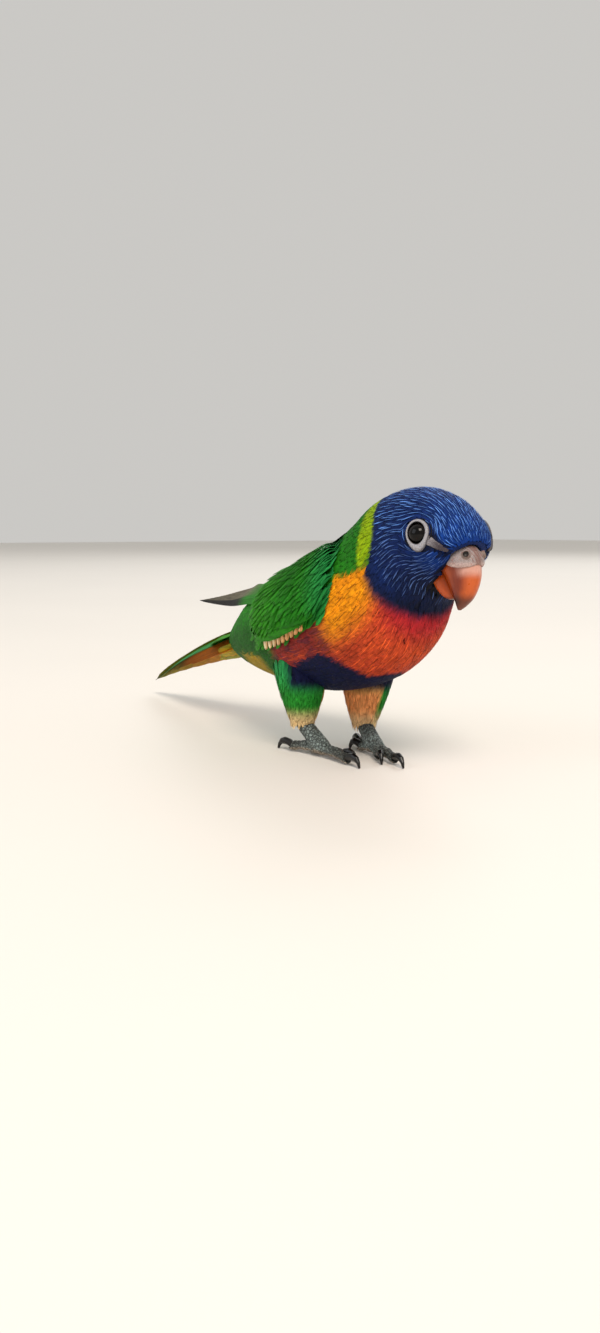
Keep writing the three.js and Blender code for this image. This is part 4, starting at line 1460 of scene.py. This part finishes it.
@dataclass
class Wing:
    """A folded wing: small feathers over the arm, then tiers of longer ones and the hand's long quills."""

    side: Side
    trunk: Trunk
    lie: Lie
    markings: Markings
    anchor: Anchor
    front: float = 0.47
    rear: float = 0.235
    middle: float = 1.12
    half: float = 0.56
    thickness: float = 2.0
    shingle: float = 0.26
    tries: int = 14000

    def height(self, t: Array, angle: Array) -> Array:
        """The height of the arm's surface over the trunk.

        Args:
            t: shares of the trunk's length.
            angle: angles on the left side.

        Returns:
            Heights in millimetres, which fall away past the arm's rim.
        """
        u = (self.front - t) / (self.front - self.rear)
        end = np.clip(1 - (2 * np.clip(u, 0, 1) - 1) ** 4, 0, 1) ** 0.5
        v = (np.abs(angle) - self.middle) / (self.half * np.maximum(end, 0.2))
        dome = self.thickness * np.clip(1 - np.abs(v) ** 4, 0, 1) ** 0.5 * end
        return 0.3 + 0.6 * ease(np.abs(v), 1.2, 0.8) + dome

    def on(self, t: Array, angle: Array, height: Array) -> Array:
        """Points over the trunk on this wing's side."""
        return self.trunk.raised(t, angle, height) * self.side.mirror

    def facing(self, t: Array, angle: Array) -> Array:
        """The direction that a wing feather faces, tilted so that it lies over the one below."""
        return self.trunk.normal(t, angle - self.shingle) * self.side.mirror

    def small(self, plumage: Plumage, seed: int) -> None:
        """Adds the small feathers of the shoulder and arm."""
        rng = np.random.default_rng(seed)
        t = rng.uniform(0.272, 0.497, self.tries)
        angle = rng.uniform(self.middle - 0.62, self.middle + 0.5, self.tries)
        shoulder = np.interp(angle, [0.5, 0.8, 1.12, 1.41, 1.62, 1.7],
                             [0.468, 0.488, 0.487, 0.468, 0.449, 0.42])
        t, angle = t[t < shoulder], angle[t < shoulder]
        points = self.trunk.point(t, angle)
        gap = np.interp(t, [0.28, 0.34, 0.43, 0.5], [1.5, 1.35, 1.1, 0.9])
        chosen = scatter(points, gap, seed, -unit(self.trunk.slopes(t, angle)[0]), 1.8)
        t, angle = t[chosen], angle[chosen]
        number = len(t)
        blade = Blade(stations=7, quill=0.5, rounding=0.55, point=0.12, power=1.7, ragged=0.08)
        length = np.interp(t, [0.28, 0.34, 0.43, 0.5], [10, 9.5, 8, 5.5]) * rng.uniform(0.9, 1.1, number)
        half = np.interp(t, [0.28, 0.34, 0.43, 0.5], [2.1, 1.9, 1.5, 1.1]) * rng.uniform(0.88, 1.12, number)
        ts, angles = self.lie.march(t, angle, length, blade.stations, rng.normal(-0.55, 0.07, number))
        share = blade.steps
        rise = -0.45 + (0.8 + rng.uniform(0, 0.16, number)[:, None]) * share**0.8
        lines = self.on(ts, angles, self.height(ts, angles) + rise)
        colour = self.markings.wing(ts, angles) * rng.normal(1, 0.1, (number, 1, 1))
        colour = colour * (0.72 + 0.4 * share)[None, :, None]
        places = np.stack([(angle - 0.4) / 1.5, (t - 0.3) / 0.22], -1)
        plumage.add(lines, self.facing(ts, angles), half, colour, places, blade, seed, edge=colour * 0.75)

    def tier(
        self,
        plumage: Plumage,
        count: int,
        start: tuple[float, float, float, float],
        end: Callable[[Array], tuple[Array, Array, Array]],
        width: float,
        blade: Blade,
        seed: int,
    ) -> None:
        """Adds one tier of feathers that lie side by side.

        Args:
            plumage: the batch that they join.
            count: how many.
            start: the roots' t, first angle, fall of the angle over the tier, and height.
            end: gives the tips' t, angle and height from the share along the tier.
            width: their width.
            blade: their shape.
            seed: the seed of their differences.
        """
        rng = np.random.default_rng(seed)
        s = np.linspace(0, 1, count)
        steps = blade.steps[None]
        tip = [np.broadcast_to(v, s.shape)[:, None] for v in end(s)]
        jitter = rng.normal(0, 1, (2, count, 1))
        root = [start[0], (start[1] - start[2] * s)[:, None], start[3]]
        t = root[0] + (tip[0] + 0.002 * jitter[0] - root[0]) * steps
        angle = root[1] + (tip[1] + 0.012 * jitter[1] - root[1]) * steps
        height = root[2] + (tip[2] - root[2]) * steps + 0.4 * np.sin(math.pi * steps)
        colour = self.markings.wing(t[:, -2], angle[:, -2]) * rng.normal(1, 0.06, (count, 1))
        places = np.stack([0.1 + 0.8 * s, np.full(count, start[0])], -1)
        plumage.add(self.on(t, angle, height), self.facing(t, angle), np.full(count, width / 2),
                    graded(colour * 0.7, colour, blade.stations), places, blade, seed,
                    edge=colour[:, None] * 0.6)

    def quills(self, plumage: Plumage, count: int = 7) -> None:
        """Adds the hand's long grey quills, whose tips run free behind the body."""
        blade = Blade(stations=18, quill=0.6, rounding=0.8, point=0.03, power=1.35, thickness=0.3,
                      camber=0.04, ragged=0.01, section=Section.RIBBED)
        share = np.linspace(0, 1, count)
        short = 25.5 * (1 - share)
        out = 2.25 * share
        side = self.side.value
        root = self.on(np.full(count, 0.34), np.full(count, 1.2), 1.4 + 0.9 * share)

        def at(place: tuple[float, float, float], back: Array, rise: Array, aside: Array) -> Array:
            """A stop of the quills' middle lines."""
            return np.stack([place[0] + back, side * (place[1] + aside), place[2] + rise], -1)

        stops = np.stack([
            root,
            at((118, 14.5, 55.6), short * 0.1, 1.8 - 3.2 * share, out * 0.9),
            at((92, 8.6, 52.4), short * 0.5, 3.2 - 4.6 * share, out * 0.7),
            at((52, 1.7, 49.2), short, 3.2 * (1 - share), out * 0.3 + short * 0.1),
        ])
        lines = np.stack([np.stack([through(stops[:, i, k], blade.steps) for k in range(3)], -1)
                          for i in range(count)])
        steps = blade.steps[:, None]
        face = unit(np.array([0.1, side * 0.86, 0.5]) * (1 - steps) + np.array([0, side * 0.95, 0.3]) * steps)
        facing = np.broadcast_to(face, lines.shape)
        grey = np.broadcast_to(linear("#1f1d1d"), (count, 3))
        cream = np.broadcast_to(linear("#77715e"), (count, 1, 3))
        places = np.stack([0.1 + 0.8 * share, np.full(count, 0.34)], -1)
        colours = paint(graded(grey, grey * 0.2, blade.stations, 2),
                        (linear(self.markings.leaf) * 0.8, ease(blade.steps, 0.56, 0.38)[None]))
        plumage.add(lines, facing, 3.1 - 0.6 * share, colours, places, blade, 5,
                    edge=cream, edge_side=side, edge_power=20, under=grey * 0.4)

    def band(self, plumage: Plumage) -> None:
        """Adds the pale yellow feathers that show as a comb under the wing's lower rear rim."""
        count = 9
        s = np.linspace(0, 1, count)
        blade = Blade(stations=7, quill=0.8, rounding=0.3, point=0.4, thickness=0.3, camber=0.25, ragged=0.06)
        steps = blade.steps[None]
        t = (0.392 - 0.098 * s)[:, None] - 0.008 * steps
        angle = (1.6 + 0.02 * s)[:, None] + (0.15 + 0.07 * s)[:, None] * steps
        height = 1.9 - 0.5 * steps + 0 * t
        pale = paint("#efb47c", ("#fdeec0", ease(s, 0.4, 0.9)))
        places = np.stack([0.1 + 0.8 * s, np.full(count, 0.2)], -1)
        plumage.add(self.on(t, angle, height), self.facing(t, angle + 0.3), np.full(count, 1.4),
                    graded(pale * 0.8, pale, blade.stations), places, blade, 6,
                    edge=np.broadcast_to(linear("#b07c40"), (count, 1, 3)))

    def build(self, finish: bpy.types.Material, quill_finish: bpy.types.Material) -> None:
        """Builds the wing in two pieces.

        Args:
            finish: the material of its vanes.
            quill_finish: the material of its long quills.
        """
        seed = 40 + self.side.value
        letter = self.side.letter
        long = Blade(stations=10, quill=0.6, rounding=0.3, point=0.25, thickness=0.3, camber=0.12,
                     ragged=0.03, section=Section.RIBBED)
        quills = Plumage(f"wing_quills_{letter}", "wing_plumage", quill_finish, self.anchor)
        self.quills(quills)
        self.tier(quills, 11, (0.36, 1.6, 0.86, 1.4),
                  lambda s: (0.262 - 0.02 * np.sin(2.6 * s), 1.56 - 1.06 * s, 1.6 + 0.6 * s), 7.2, long, seed)
        self.band(quills)
        quills.build([f"wing_{letter}"])
        covert = replace(long, stations=8, rounding=0.36, point=0.22, thickness=0.22, camber=0.16,
                         ragged=0.05)
        small = Plumage(f"wing_coverts_{letter}", "wing_plumage", finish, self.anchor)
        self.tier(small, 11, (0.4, 1.6, 0.9, 1.5),
                  lambda s: (0.3 - 0.01 * s, 1.55 - 0.93 * s, 2.3 + 0 * s), 6.6, covert, seed + 2)
        self.tier(small, 12, (0.425, 1.58, 0.92, 1.6),
                  lambda s: (0.335 - 0.005 * s, 1.54 - 0.94 * s, 2.4 + 0 * s), 5.8, covert, seed + 4)
        self.small(small, seed + 6)
        small.build()


@dataclass
class Tail:
    """Stepped tail feathers in six pairs, with shorter ones over and under their roots."""

    markings: Markings
    anchor: Anchor
    root: tuple[float, float, float] = (95, 0, 39.4)
    longest: float = 98.2
    step: float = 9.4
    slope: float = 19.4
    layer: float = 1.2
    spread: float = 0.85
    lean: float = 30.0  # the roof's pitch to each side

    def frame(self, slope: float) -> tuple[Array, Array]:
        """The directions along and square to a slope, in degrees below level."""
        s, c = math.sin(math.radians(slope)), math.cos(math.radians(slope))
        return np.array([-c, 0, -s]), np.array([-s, 0, c])

    def tone(self, run: Array, pair: int) -> Array:
        """Colours along a long feather: the middle pair green, the rest orange, all dark at their ends.

        Args:
            run: distances from the tail's root in millimetres.
            pair: the pair's number from the middle.

        Returns:
            Linear colours.
        """
        if pair == 0:
            return paint("#1c7c2a", ("#1c2c12", ease(run, 66, 94)))
        return paint("#c8701c", ("#6c5a1c", ease(run, 44, 62)), ("#2c2a12", ease(run, 62, 90)))

    def long(self, plumage: Plumage) -> None:
        """Adds the six pairs of long feathers."""
        blade = Blade(stations=18, quill=0.7, rounding=0.6, point=0.06, power=1.8, thickness=0.35,
                      camber=0.06, ragged=0.01, section=Section.RIBBED)
        along, over = self.frame(self.slope)
        steps = blade.steps
        lean = math.radians(self.lean)
        for side in Side:
            for pair in range(6):
                share = pair / 5
                length = self.longest - self.step * pair * (1 + 0.12 * share)
                face = over * math.cos(lean) + np.array([0, side.value * math.sin(lean), 0])
                depth = self.layer * (pair + (0.5 if side is Side.RIGHT else 0))
                far = length * steps / self.longest
                height = 1.6 + 2.1 * np.sin(math.pi * far) - 0.5 * far - depth * (1 - 0.08 * far)
                aside = (3.1 + self.spread * pair) * (1 - 0.85 * ease(far, 0.5, 1.0))
                start = self.root + aside[:, None] * (0, side.value, 0)
                line = start + along * (length * steps)[:, None] + over * height[:, None]
                tone = self.tone(length * steps, pair)[None] * (1 - 0.08 * (pair % 2))
                below = paint("#b8741c", ("#7a7a1e", np.array([1 - share])))
                place = np.array([[0.5 + side.value * (0.06 + 0.07 * pair), 0.9]])
                half = np.array([4.1 if pair == 0 else 3.7])
                plumage.add(line[None], np.broadcast_to(face, (1, *line.shape)), half, tone, place, blade,
                            pair, under=below, edge=tone * 0.6)

    def coverts(self, plumage: Plumage, level: int) -> None:
        """Adds the tiers over (level 1) or under (level -1) the tail's root."""
        rng = np.random.default_rng(70 + level)
        blade = Blade(stations=8, quill=0.6, rounding=0.5, point=0.2, thickness=0.2, camber=0.2, ragged=0.06,
                      section=Section.RIBBED)
        along, over = self.frame(self.slope + (0.5 if level > 0 else -3))
        steps = blade.steps
        for tier, (reach, back) in enumerate(((1.0, 0.0), (0.78, -4.0), (0.56, -8.0))):
            for index in np.linspace(-2.3, 2.3, 8):
                out = abs(index)
                length = (35 - 6 * out if level > 0 else 31 - 7 * out) * reach * rng.uniform(0.93, 1.07)
                lean = math.radians(7 * index)
                face = over * level * math.cos(lean) + np.array([0, math.sin(lean), 0])
                height = 1.9 - 0.8 * out if level > 0 else 0.75 * out - 7.2
                height += level * (0.35 * tier + 0.1 * rng.uniform())
                way = along + np.array([0, 0.05 * index, 0])
                height = height + level * 0.6 * np.sin(math.pi * steps)
                start = np.array(self.root) + [0, 3.2 * index, 0] - along * back
                line = start + way * (length * steps)[:, None] + over * height[:, None]
                if level > 0:
                    tone = linear(self.markings.grass)[None] * rng.uniform(0.8, 1.05)
                else:
                    tone = paint("#d9a420", ("#7c9a20", rng.uniform(0.1, 0.75, 1)))
                place = np.array([[0.5 + 0.12 * index, 0.4 + 0.1 * tier]])
                plumage.add(line[None], np.broadcast_to(face, (1, *line.shape)), np.array([3.6]),
                            graded(tone * 0.6, tone, blade.stations), place, blade,
                            tier * 9 + int(index * 3) + 40, edge=tone[None] * 0.6)

    def build(self, finish: bpy.types.Material) -> None:
        """Builds the tail."""
        plumage = Plumage("tail_feathers", "tail_plumage", finish, self.anchor)
        self.long(plumage)
        self.coverts(plumage, 1)
        self.coverts(plumage, -1)
        plumage.build(["tail"])


@dataclass
class Face:
    """Eyes, lids, cere and bill."""

    anchor: Anchor
    trunk: Trunk
    lores: tuple[tuple[float, float], ...] = ((0.866, 1.31), (0.905, 1.3), (0.945, 1.35), (0.974, 1.45))
    nostril: tuple[float, float, float] = (221.7, 3.5, 72.7)
    pit: tuple[float, float, float] = (222.25, 4.2, 73)
    lid_inner: float = 3.08  # the radius of the lid's opening
    lid_ring: float = 4.1  # the radius of the plain ring that the lid is shaped from
    upper_rows: tuple[tuple[float, ...], ...] = (
        # ridge x, ridge z, edge x, edge z, half width
        (213.6, 78, 205.4, 71, 5.2),
        (218.4, 76, 208.8, 69.4, 5.7),
        (222, 72.4, 211.4, 66.9, 5.6),
        (223.5, 68, 213.2, 64.4, 5),
        (222.9, 63.4, 214.4, 61.4, 4.1),
        (220.9, 59.4, 215.2, 58.7, 2.9),
        (218.2, 56.9, 215.4, 56.9, 1.7),
        (216.1, 55.5, 215.2, 55.7, 0.6),
    )

    def eye(self, side: Side, finish: bpy.types.Material) -> None:
        """Builds one eye with a slightly domed cornea over a dark iris."""
        bm = bmesh.new()
        bmesh.ops.create_uvsphere(bm, u_segments=56, v_segments=36, radius=EYE_RADIUS * MM)
        mesh = mesh_of(bm)
        ball = vectors(mesh.vertices, "co") / MM
        turn = np.arccos(np.clip(unit(ball) @ side.gaze, -1, 1))
        self.anchor.write(mesh, side.eye + ball * (1 + 0.05 * ease(turn, 0.9, 0.2))[:, None])
        tint(mesh, paint("#0b0605", ("#030202", ease(turn, 0.5, 0.42)), ("#050404", ease(turn, 0.78, 0.9))))
        make_piece(f"wet_eye_{side.letter}", mesh, finish, [f"eye_{side.letter}"])

    def lid(self, side: Side, finish: bpy.types.Material) -> None:
        """Builds the pale bare ring round an eye, thicker and drawn out below."""
        bm = bmesh.new()
        tube = bmesh.ops.create_circle(bm, segments=18, radius=1)["verts"]
        for vertex in tube:
            vertex.co = Vector((self.lid_ring + vertex.co.x, 0, vertex.co.y * 0.5))
        bmesh.ops.spin(bm, geom=list(bm.verts) + list(bm.edges), axis=(0, 0, 1), angle=2 * math.pi, steps=96,
                       use_merge=True)
        bmesh.ops.remove_doubles(bm, verts=bm.verts, dist=1e-5)
        bmesh.ops.recalc_face_normals(bm, faces=bm.faces)
        mesh = mesh_of(bm)
        ring = vectors(mesh.vertices, "co")
        out = side.gaze
        up = np.array([-0.3, 0, 1.0])
        up = unit(up - out * (up @ out))
        fore = np.cross(up, out)
        if fore[0] < 0:
            fore = -fore
        reach = np.linalg.norm(ring[:, :2], axis=-1)
        angle = np.arctan2(ring[:, 1], ring[:, 0])
        below = np.maximum(0, -np.sin(angle))
        drop = 1 + 0.1 * below**3
        ahead = np.maximum(0, np.cos(angle)) ** 4
        half = 0.52 + 0.55 * below**3 + 0.2 * ahead
        reach = self.lid_inner + half + (reach - self.lid_ring) * half
        crease = 0.05 * np.sin(angle * 40) * ease(reach, 3.1, 4.2)
        height = 2.75 - reach**2 / 30 + ring[:, 2] + crease * (ring[:, 2] > 0)
        way = fore * (np.cos(angle) * 0.9)[:, None] + up * (np.sin(angle) * 1.05 * drop)[:, None]
        points = side.eye + way * reach[:, None] + out * height[:, None]
        self.anchor.write(mesh, points)
        bm = bmesh.new()
        bm.from_mesh(mesh)
        bmesh.ops.recalc_face_normals(bm, faces=bm.faces)
        bm.to_mesh(mesh)
        bm.free()
        tint(mesh, paint("#9d9ca2", ("#141214", ease(reach, 3.42, 3.14)),
                         ("#4c4a52", ease((reach - self.lid_inner) / (2 * half), 0.72, 1.0))))
        make_piece(f"lid_{side.letter}", mesh, finish)

    def upper_bill(self, finish: bpy.types.Material) -> None:
        """Builds the hooked upper half of the bill as rings along its curve."""
        rows = np.array(self.upper_rows)
        rings = []
        for t in np.linspace(0, 1, 44):
            ridge_x, ridge_z, edge_x, edge_z, half = (float(through(rows[:, k], t)) for k in range(5))
            ridge, edge = np.array([ridge_x, 0, ridge_z]), np.array([edge_x, 0, edge_z])
            level = ridge + (edge - ridge) * 0.66
            turn = np.linspace(0, 2 * math.pi, 40, endpoint=False)
            up, out = np.cos(turn), np.sin(turn)
            bulge = np.where(up > 0, np.abs(out) ** 1.15, np.abs(out) ** 0.6)
            reach = np.where((up > 0)[:, None], ridge - level, edge - level)
            ring = level + reach * np.abs(up)[:, None]
            ring[:, 1] = np.sign(out) * half * bulge
            rings.append(ring)
        mesh = mesh_of(loft(self.anchor.metres(np.array(rings))))
        points = self.anchor.read(mesh)
        level = points[:, 2]
        back = points[:, 0] - np.interp(level, [55.5, 57, 59.5, 63.5, 68, 72, 76],
                                        [216.1, 218.2, 220.9, 222.9, 223.5, 222, 218])
        # The horn is lighter along the culmen's ridge as a painted highlight and darker down its sides as
        # painted shade. The pale pink under the cere is partly its own colour and partly a painted highlight.
        # The near-black hook is its own colour.
        ridge = ease(back, -3.6, -0.6)
        tint(mesh, paint("#a84612", ("#7c2a0e", ease(back, -8.5, -4.4)), ("#c85a1e", ridge),
                         ("#d8aa9c", ease(level, 65.2, 68.2) * ease(back, -5.5, -2) * 0.85),
                         ("#140806", ease(level, 61.6, 58) * (1 - 0.25 * ridge))))
        make_piece("horn_bill_upper", mesh, finish, ["bill_upper"])

    def lower_bill(self, finish: bpy.types.Material) -> None:
        """Builds the lower half of the bill, which fits under the upper one."""
        mesh = remeshed(merged_copy(["bill_lower"]), 0.2, 4)
        points = self.anchor.read(mesh)
        tint(mesh, paint("#b84c14", ("#cc7426", ease(points[:, 2], 60.5, 64) * ease(points[:, 0], 210, 206)),
                         ("#4a1c0c", ease(points[:, 2], 60.2, 58.6) * 0.7)))
        make_piece("horn_bill_lower", mesh, finish, ["bill_lower"])

    def lores_line(self, side: Side, share: Array) -> tuple[Array, Array]:
        """The bare line from an eye to the cere's corner.

        Args:
            side: the side of the head.
            share: shares of its length.

        Returns:
            Its points on the head's surface and the outward directions there.
        """
        t, angle = through([p[0] for p in self.lores], share), through([p[1] for p in self.lores], share)
        return self.trunk.point(t, angle) * side.mirror, self.trunk.normal(t, angle) * side.mirror

    def near_lores(self, points: Array, side: Side) -> Array:
        """How far points are from the bare line between an eye and the bill."""
        line, _ = self.lores_line(side, np.linspace(0, 1, 25))
        return np.linalg.norm(points[:, None] - line[None], axis=-1).min(1)

    def lores_fold(self, side: Side, finish: bpy.types.Material) -> None:
        """Builds the low pale fold that runs from the lid to the cere."""
        share = np.linspace(0, 1, 33)
        line, normal = self.lores_line(side, share)
        along = unit(np.gradient(line, axis=0))
        across = np.cross(normal, along)
        turn = np.linspace(0, 2 * math.pi, 18, endpoint=False)
        width = 1.5 - 0.95 * share + 0.04 * np.sin(share * 40)
        height = 0.5 - 0.15 * share + 0.03 * np.sin(share * 55)
        middle = line - normal * (0.34 + 0.06 * share)[:, None]
        rings = (
            middle[:, None]
            + across[:, None] * (np.cos(turn) * width[:, None])[..., None]
            + normal[:, None] * (np.sin(turn) * height[:, None])[..., None]
        )
        mesh = mesh_of(loft(self.anchor.metres(rings)))
        points = self.anchor.read(mesh)
        tint(mesh, paint("#a5a2a9", ("#3a2e38", ease(points[:, 0], 213.5, 218))))
        make_piece(f"lores_{side.letter}", mesh, finish)

    def cere(self, finish: bpy.types.Material) -> None:
        """Builds the soft band over the bill's root."""
        mesh = remeshed(merged_copy(["cere"]), 0.17, 3)
        points = self.anchor.read(mesh)
        normals = vectors(mesh.vertex_normals, "vector")
        across, level = points[:, 1], points[:, 2]
        creases = ease(np.sin(across * 5.5 + level * 2.3), 0.1, 0.9) * ease(np.abs(across), 3.0, 2.0)
        colour = paint("#9c908f", ("#c4aaa4", ease(level, 71, 69.4)),
                       ("#7d5a50", ease(np.abs(across), 1.6, 0.6) * 0.7),
                       ("#7a4038", creases * ease(level, 69.5, 71) * 0.55))
        for side in Side:
            away = np.linalg.norm(points - self.nostril * side.mirror, axis=-1)
            deep = np.linalg.norm(points - self.pit * side.mirror, axis=-1)
            # The pit is painted near black as painted shade inside the nostril's opening. The ring round it
            # is its own grey-brown.
            colour = paint(colour, ("#7c665c", ease(away, 1.75, 1.35) * 0.8),
                           ("#120a08", ease(deep, 1.1, 0.88)))
            points = points - normals * (0.3 * ease(deep, 1.0, 0.8))[:, None]
        self.anchor.write(mesh, points)
        tint(mesh, colour)
        make_piece("soft_cere", mesh, finish, ["cere"])

    def build(self) -> None:
        """Builds every piece of the face."""
        eye = EyeFinish().build()
        lid = BareFinish("lid_skin", grain=0.4, blotched=0.12, blotch="#6a6468").build()
        for side in Side:
            self.eye(side, eye)
            self.lid(side, lid)
            self.lores_fold(side, lid)
        horn = HornFinish("bill_horn").build()
        self.upper_bill(horn)
        self.lower_bill(horn)
        self.cere(BareFinish("cere_skin", grain=0.35, blotched=0.4).build())


@dataclass(frozen=True)
class Clearing:
    """Where the coat leaves bill, eyes and lores free, and paints shade on the feathers beside them."""

    face: Face
    bill: BVHTree
    bill_gap: float = 0.35
    eye_gap: float = 4.3
    eye_shape: tuple[float, float, float] = (1.08, 1, 0.92)
    lores_gap: float = 0.9
    wing_angles: tuple[float, float] = (0.72, 1.5)
    wing_shares: tuple[float, float] = (0.29, 0.435)

    def blocked(self, t: Array, angle: Array, points: Array) -> Array:
        """Finds the roots that carry no feather: in the bill, round an eye, or hidden under a wing.

        Args:
            t: the roots' shares of the trunk's length.
            angle: their angles.
            points: their places.

        Returns:
            One truth value for each root.
        """
        stop = inside(self.bill, points, self.bill_gap)
        wing = np.ones(len(t), bool)
        for side in Side:
            away = points - side.eye
            flat = away - (away @ side.gaze)[:, None] * side.gaze
            near = np.linalg.norm(flat * self.eye_shape, axis=-1) < self.eye_gap
            stop |= near & (points[:, 1] * side.value > 0)
            stop |= self.face.near_lores(points, side) < self.lores_gap
        for value, (low, high) in ((np.abs(angle), self.wing_angles), (t, self.wing_shares)):
            wing &= (value > low) & (value < high)
        return stop | wing

    def bare(self, points: Array) -> Array:
        """How far places are from the bare lines between eyes and bill."""
        near = np.minimum(*[self.face.near_lores(points.reshape(-1, 3), side) for side in Side])
        return near.reshape(points.shape[:-1])

    def shadowed(self, points: Array) -> Array:
        """How much painted shade darkens a feather by its root: blackish at the bill's rim and along the
        lores.
        """
        rim = ease(distances(self.bill, points), 2.1, 0.8) * 0.9
        return np.maximum(rim, ease(self.bare(points), 2.0, 1.2) * 0.85)


@dataclass
class Studio:
    """Camera, floor and soft lights."""

    anchor: Anchor
    eye: tuple[float, float, float] = (443.25, -212.85, 80)
    azimuth: float = 56.0
    pitch: float = 7.77
    focal: float = 1000.0  # in pixels of the 600 by 1333 frame

    def camera(self) -> None:
        """Creates the camera at the photograph's viewing angle."""
        data = bpy.data.cameras.new("camera")
        data.sensor_fit = "AUTO"
        data.sensor_width = 36
        data.lens = data.sensor_width * self.focal / FRAME_HEIGHT
        data.clip_start = 0.01
        camera = bpy.data.objects.new("camera", data)
        camera.location = self.anchor.metres(self.eye)
        camera.rotation_euler = (math.radians(90 - self.pitch), 0, math.radians(self.azimuth))
        bpy.context.scene.collection.objects.link(camera)
        bpy.context.scene.camera = camera

    def light(self, name: str, place: tuple[float, float, float], size: float, power: float,
              tone: str) -> None:
        """Adds a soft square light that faces the bird.

        Args:
            name: its name.
            place: where it is, in metres.
            size: its side in metres.
            power: its power in watts.
            tone: its colour.
        """
        data = bpy.data.lights.new(name, "AREA")
        data.shape = "SQUARE"
        data.size = size
        data.energy = power
        data.color = linear(tone)
        lamp = bpy.data.objects.new(name, data)
        lamp.location = place
        lamp.rotation_euler = (Vector((0.03, 0, 0.05)) - Vector(place)).to_track_quat("-Z", "Y").to_euler()
        bpy.context.scene.collection.objects.link(lamp)

    def build(self) -> None:
        """Builds the camera, the floor, the lights and the pale surroundings."""
        self.camera()
        bm = bmesh.new()
        bmesh.ops.create_grid(bm, x_segments=8, y_segments=8, size=6)
        floor = bpy.data.objects.new("floor", mesh_of(bm))
        floor.data.materials.append(FloorFinish().build())
        bpy.context.scene.collection.objects.link(floor)
        self.light("key", (1.5, -0.7, 2.0), 1.0, 48, "#fff4e6")
        self.light("fill", (-0.6, -2.4, 1.3), 1.6, 14, "#eef4ff")
        self.light("back", (-1.2, 1.8, 2.0), 1.4, 22, "#ffffff")
        world = bpy.data.worlds.new("surroundings")
        world.use_nodes = True
        sky = world.node_tree.nodes["Background"]
        sky.inputs["Color"].default_value = (*linear("#e6e4e0"), 1)
        sky.inputs["Strength"].default_value = 0.75
        bpy.context.scene.world = world
        bpy.context.scene.view_settings.view_transform = "Standard"


def main() -> None:
    """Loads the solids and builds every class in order."""
    logging.basicConfig(level=logging.INFO, format="%(message)s")
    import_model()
    anchor = Anchor.from_eye()
    Studio(anchor).build()
    trunk, markings = Trunk(), Markings()
    lie = Lie(trunk)
    legs = [
        Leg(Side.LEFT, markings, anchor, (156, 11.5, 38), (155, 11, 23), (156.5, 8.8, 10),
            (167, 5.6), -18, 0.3, ((-154, 8), (-11, 10.5), (5, 17), (183, 14.5))),
        Leg(Side.RIGHT, markings, anchor, (144, -11, 40), (147.5, -12.6, 25), (148, -12.6, 11.5),
            (158, -11.4), 4, 0.9, ((-150, 8), (-11, 10.5), (5, 17), (168, 14.5))),
    ]
    bill = tree_of(["bill_upper", "bill_lower", "cere"], anchor)
    face = Face(anchor, trunk)
    Skin(trunk, markings, anchor).build(bill, legs)
    face.build()
    finishes = {
        "blue": FeatherFinish("blue_feathers", contrast=0.3).build(),
        "shaft": FeatherFinish("pale_shafts", contrast=0.15, relief=0.2).build(),
        "soft": FeatherFinish("soft_feathers", barb=0.5).build(),
    }
    Coat(trunk, lie, markings, anchor, Clearing(face, bill), finishes).build()
    torso = tree_of(["torso"], anchor)
    foot, claw = ScaleFinish().build(), HornFinish("claw_horn", roughness=0.32, relief=0.1, coat=0.1).build()
    for leg in legs:
        plumage = Plumage(f"thigh_feathers_{leg.side.letter}", "thigh_plumage", finishes["soft"], anchor)
        leg.dress(plumage, torso, 50 + leg.side.value)
        plumage.build()
        leg.build_foot(foot)
        leg.build_claws(claw)
    vane = FeatherFinish("wing_vanes", barb=0.55, relief=0.6, roughness=0.55).build()
    quill = FeatherFinish("quill_vanes", barb=0.6, relief=0.4, roughness=0.5).build()
    for side in Side:
        Wing(side, trunk, lie, markings, anchor).build(vane, quill)
    Tail(markings, anchor).build(quill)


if __name__ == "__main__":
    main()
